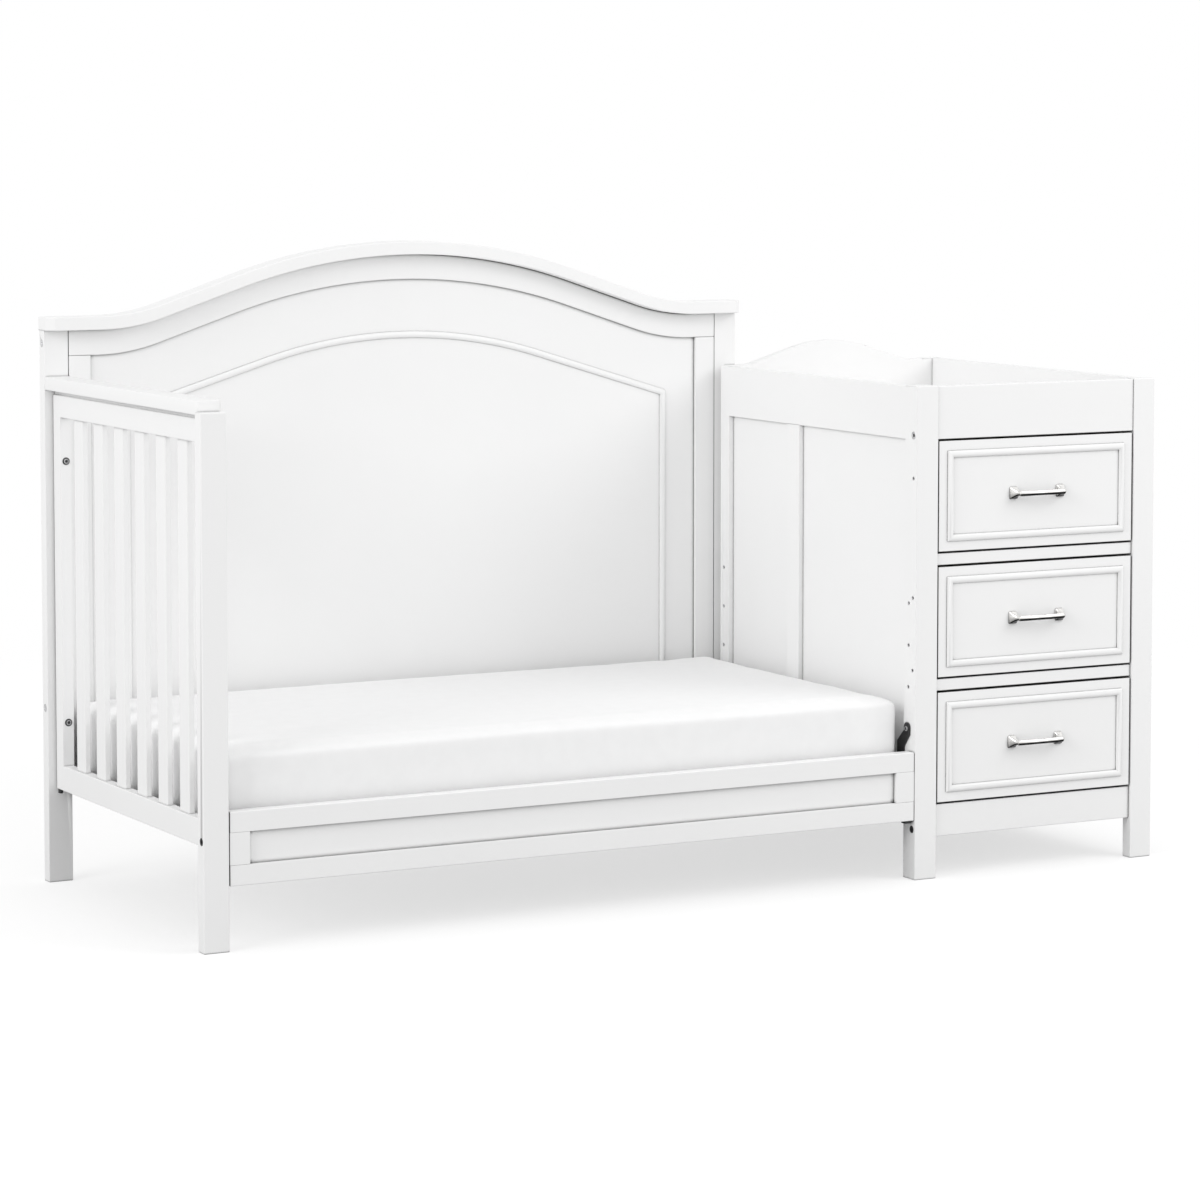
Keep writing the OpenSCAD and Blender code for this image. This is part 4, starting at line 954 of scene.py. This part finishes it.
def mattress_rings(shrink):
    """Rings of the mattress, drawn in by shrink mm on every side. Going up, the outline swells by
    a quarter circle, stays, and draws in again. Over the top the rings shrink to the middle while
    the height rises by a crown of 5 mm, most quickly at the edge."""
    x = (MATTRESS_X[0] + shrink, MATTRESS_X[1] - shrink)
    y = (MATTRESS_Y[0] + shrink, MATTRESS_Y[1] - shrink)
    top, low = MATTRESS_Z[1] - CROWN - shrink, MATTRESS_Z[0] + shrink * 0.3
    t = np.radians(np.linspace(0, 90, 9))
    inset = np.concatenate([[300, 150, 60], EDGE_LOW * (1 - np.sin(t)), EDGE_HIGH * (1 - np.cos(t)),
                            [60, 110, 170, 240, 300]])
    height = np.concatenate([[low] * 3, low + EDGE_LOW * (1 - np.cos(t)),
                             top - EDGE_HIGH * (1 - np.sin(t)),
                             top + CROWN * np.array([0.32, 0.58, 0.80, 0.95, 1.0])])
    return stack(x, y, (10, 10, 10, 10), 3, inset, height)


def applied(obj):
    """Replaces the object's mesh by the result of its modifiers and removes them."""
    seen = obj.evaluated_get(bpy.context.evaluated_depsgraph_get())
    mesh = bpy.data.meshes.new_from_object(seen)
    obj.modifiers.clear()
    obj.data = mesh


mattress = piece("mattress_in_sheet", mattress_rings(2.5), white_cotton,
                 "mattress", 180)
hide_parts("mattress")
remesh = mattress.modifiers.new("even skin", "REMESH")
remesh.mode = "VOXEL"
remesh.voxel_size = 0.008
remesh.use_smooth_shade = True
applied(mattress)
print("mattress skin", len(mattress.data.polygons), "faces")

# %% Swell the mattress
MOST, FRAMES = 0.008, 20
before = points_of(mattress.data)
cloth = mattress.modifiers.new("swell", "CLOTH").settings
cloth.use_pressure = True
cloth.uniform_pressure_force = 4.0
cloth.effector_weights.gravity = 0.0
for step in range(1, FRAMES + 1):
    scene.frame_set(step)
applied(mattress)
scene.frame_set(1)
after = points_of(mattress.data)
moved = after - before
length = np.linalg.norm(moved, axis=1, keepdims=True)
after = before + moved * np.minimum(1, MOST / np.maximum(length, 1e-9))
mattress.data.vertices.foreach_set("co", after.ravel())
print("swelled by up to", round(float(length.max()) * 1000, 1), "mm")

# %% [markdown]
# The sheet's creases are added last, as small moves of the skin. They fan out from a hub inside
# each corner and fade after a hand's width. Then every point is held between the rails, and
# the underside stays flat on the support. The two ends may bow out a little farther in their
# middle, where no bolt is in their way.

# %% Creases and limits
CREASE, FOLDS, HAND, WAVE, BULGE = 0.0012, 26, 0.07, 0.0009, 0.0023
CENTRE, HUB = 0.05, 0.16
skin = points_of(mattress.data)
low, high = np.array([at(*corner) for corner in zip(MATTRESS_X, MATTRESS_Y, MATTRESS_Z)])
middle, half = (low + high) / 2, (high - low) / 2
from_middle = np.abs(skin - middle)
off, hub = from_middle - (half - CENTRE), from_middle - (half - HUB)
reach = np.hypot(off[:, 0], off[:, 1])
fan = np.arctan2(hub[:, 1], hub[:, 0])
fade = np.exp(-(reach / HAND) ** 2) * np.clip((skin[:, 2] - low[2]) / 0.08, 0, 1)
crease = CREASE * np.sin(fan * FOLDS) * fade
outward = (skin - middle) / np.linalg.norm(skin - middle, axis=1, keepdims=True)
skin += outward * crease[:, None]
wave = np.sin(skin[:, 0] * 7.1 + 0.6) * np.sin(skin[:, 1] * 9.3 + 1.1)
on_top = np.clip((skin[:, 2] - (high[2] - 0.03)) / 0.02, 0, 1)
skin[:, 2] += WAVE * wave * on_top
bow = 1 - np.minimum(1, np.abs(skin[:, 1] - middle[1]) / 0.29) ** 3
end = np.outer(bow, (BULGE, 0, 0))
skin = np.clip(skin, low - end, high + end)
mattress.data.vertices.foreach_set("co", skin.ravel())
mattress.data.update()
finer = mattress.modifiers.new("finer", "SUBSURF")
finer.levels = finer.render_levels = 1
print("mattress", np.round((skin.max(0) - skin.min(0)) * 1000), "mm")

# %% [markdown]
# ## Studio
#
# The photograph has a pure white background and only a soft shadow under the object. The camera
# sees the floor as pale paper with a glow of its own, which turns all but the shadow white, and
# farther out it fades away. What the camera sees of the world is white, and the light that
# reaches the object comes from a plain sky and two large soft lamps.

# %% Floor and light
FLOOR, FADE_FROM, FADE_TO = 5.0, 2.2, 4.0
floor_mesh = bpy.data.meshes.new("floor")
floor_mesh.from_pydata([(-FLOOR, -FLOOR, 0), (FLOOR, -FLOOR, 0), (FLOOR, FLOOR, 0),
                        (-FLOOR, FLOOR, 0)], [], [(0, 1, 2, 3)])
floor = bpy.data.objects.new("floor", floor_mesh)
scene.collection.objects.link(floor)

pale, tree, shader = finish("pale_floor")
shader.inputs["Base Color"].default_value = (0.62, 0.62, 0.62, 1)
shader.inputs["Roughness"].default_value = 0.9
shader.inputs["Specular IOR Level"].default_value = 0.0
seen = add(tree, "LightPath").outputs["Is Camera Ray"]
paper = add(tree, "BsdfDiffuse", Color=(0.40, 0.40, 0.40, 1))
glow = add(tree, "Emission", Strength=0.64)
lit = add(tree, "AddShader", _0=paper.outputs[0], _1=glow.outputs[0])
chosen = add(tree, "MixShader", _0=seen, _1=shader.outputs[0], _2=lit.outputs[0])
where = add(tree, "TexCoord").outputs["Object"]
distance = add(tree, "VectorMath", {"operation": "LENGTH"}, _0=where).outputs["Value"]
far = spread(tree, distance, 0.0, 1.0, FADE_FROM, FADE_TO)
gone = add(tree, "BsdfTransparent")
fading = add(tree, "MixShader", _0=far, _1=chosen.outputs[0], _2=gone.outputs[0])
tree.links.new(fading.outputs[0], tree.nodes["Material Output"].inputs["Surface"])
floor_mesh.materials.append(pale)

world = bpy.data.worlds.new("studio")
scene.world = world
world.use_nodes = True
tree = world.node_tree
rays = add(tree, "LightPath")
shown = maths(tree, "MAXIMUM", rays.outputs["Is Camera Ray"], rays.outputs["Is Glossy Ray"])
shown = maths(tree, "MAXIMUM", shown, rays.outputs["Is Transmission Ray"])
sky = tree.nodes["Background"]
sky.inputs["Color"].default_value = (1, 1, 1, 1)
sky.inputs["Strength"].default_value = 0.77
white = add(tree, "Background", Color=(1, 1, 1, 1), Strength=1.0)
both = add(tree, "MixShader", _0=shown, _1=sky.outputs[0], _2=white.outputs[0])
tree.links.new(both.outputs[0], tree.nodes["World Output"].inputs["Surface"])


def softbox(name, place, aim, size, power):
    """A square area lamp at place that faces aim."""
    lamp = bpy.data.lights.new(name, "AREA")
    lamp.shape = "SQUARE"
    lamp.size = size
    lamp.energy = power
    obj = bpy.data.objects.new(name, lamp)
    obj.location = place
    obj.rotation_euler = (Vector(aim) - Vector(place)).to_track_quat("-Z", "Y").to_euler()
    scene.collection.objects.link(obj)
    return obj


softbox("key_lamp", (3.3, -3.3, 3.3), (0, 0, 0.5), 3.0, 78)
softbox("left_lamp", (-9.0, -3.0, 4.8), (0, 0, 0.5), 5.0, 310)
scene.view_settings.view_transform = "Standard"
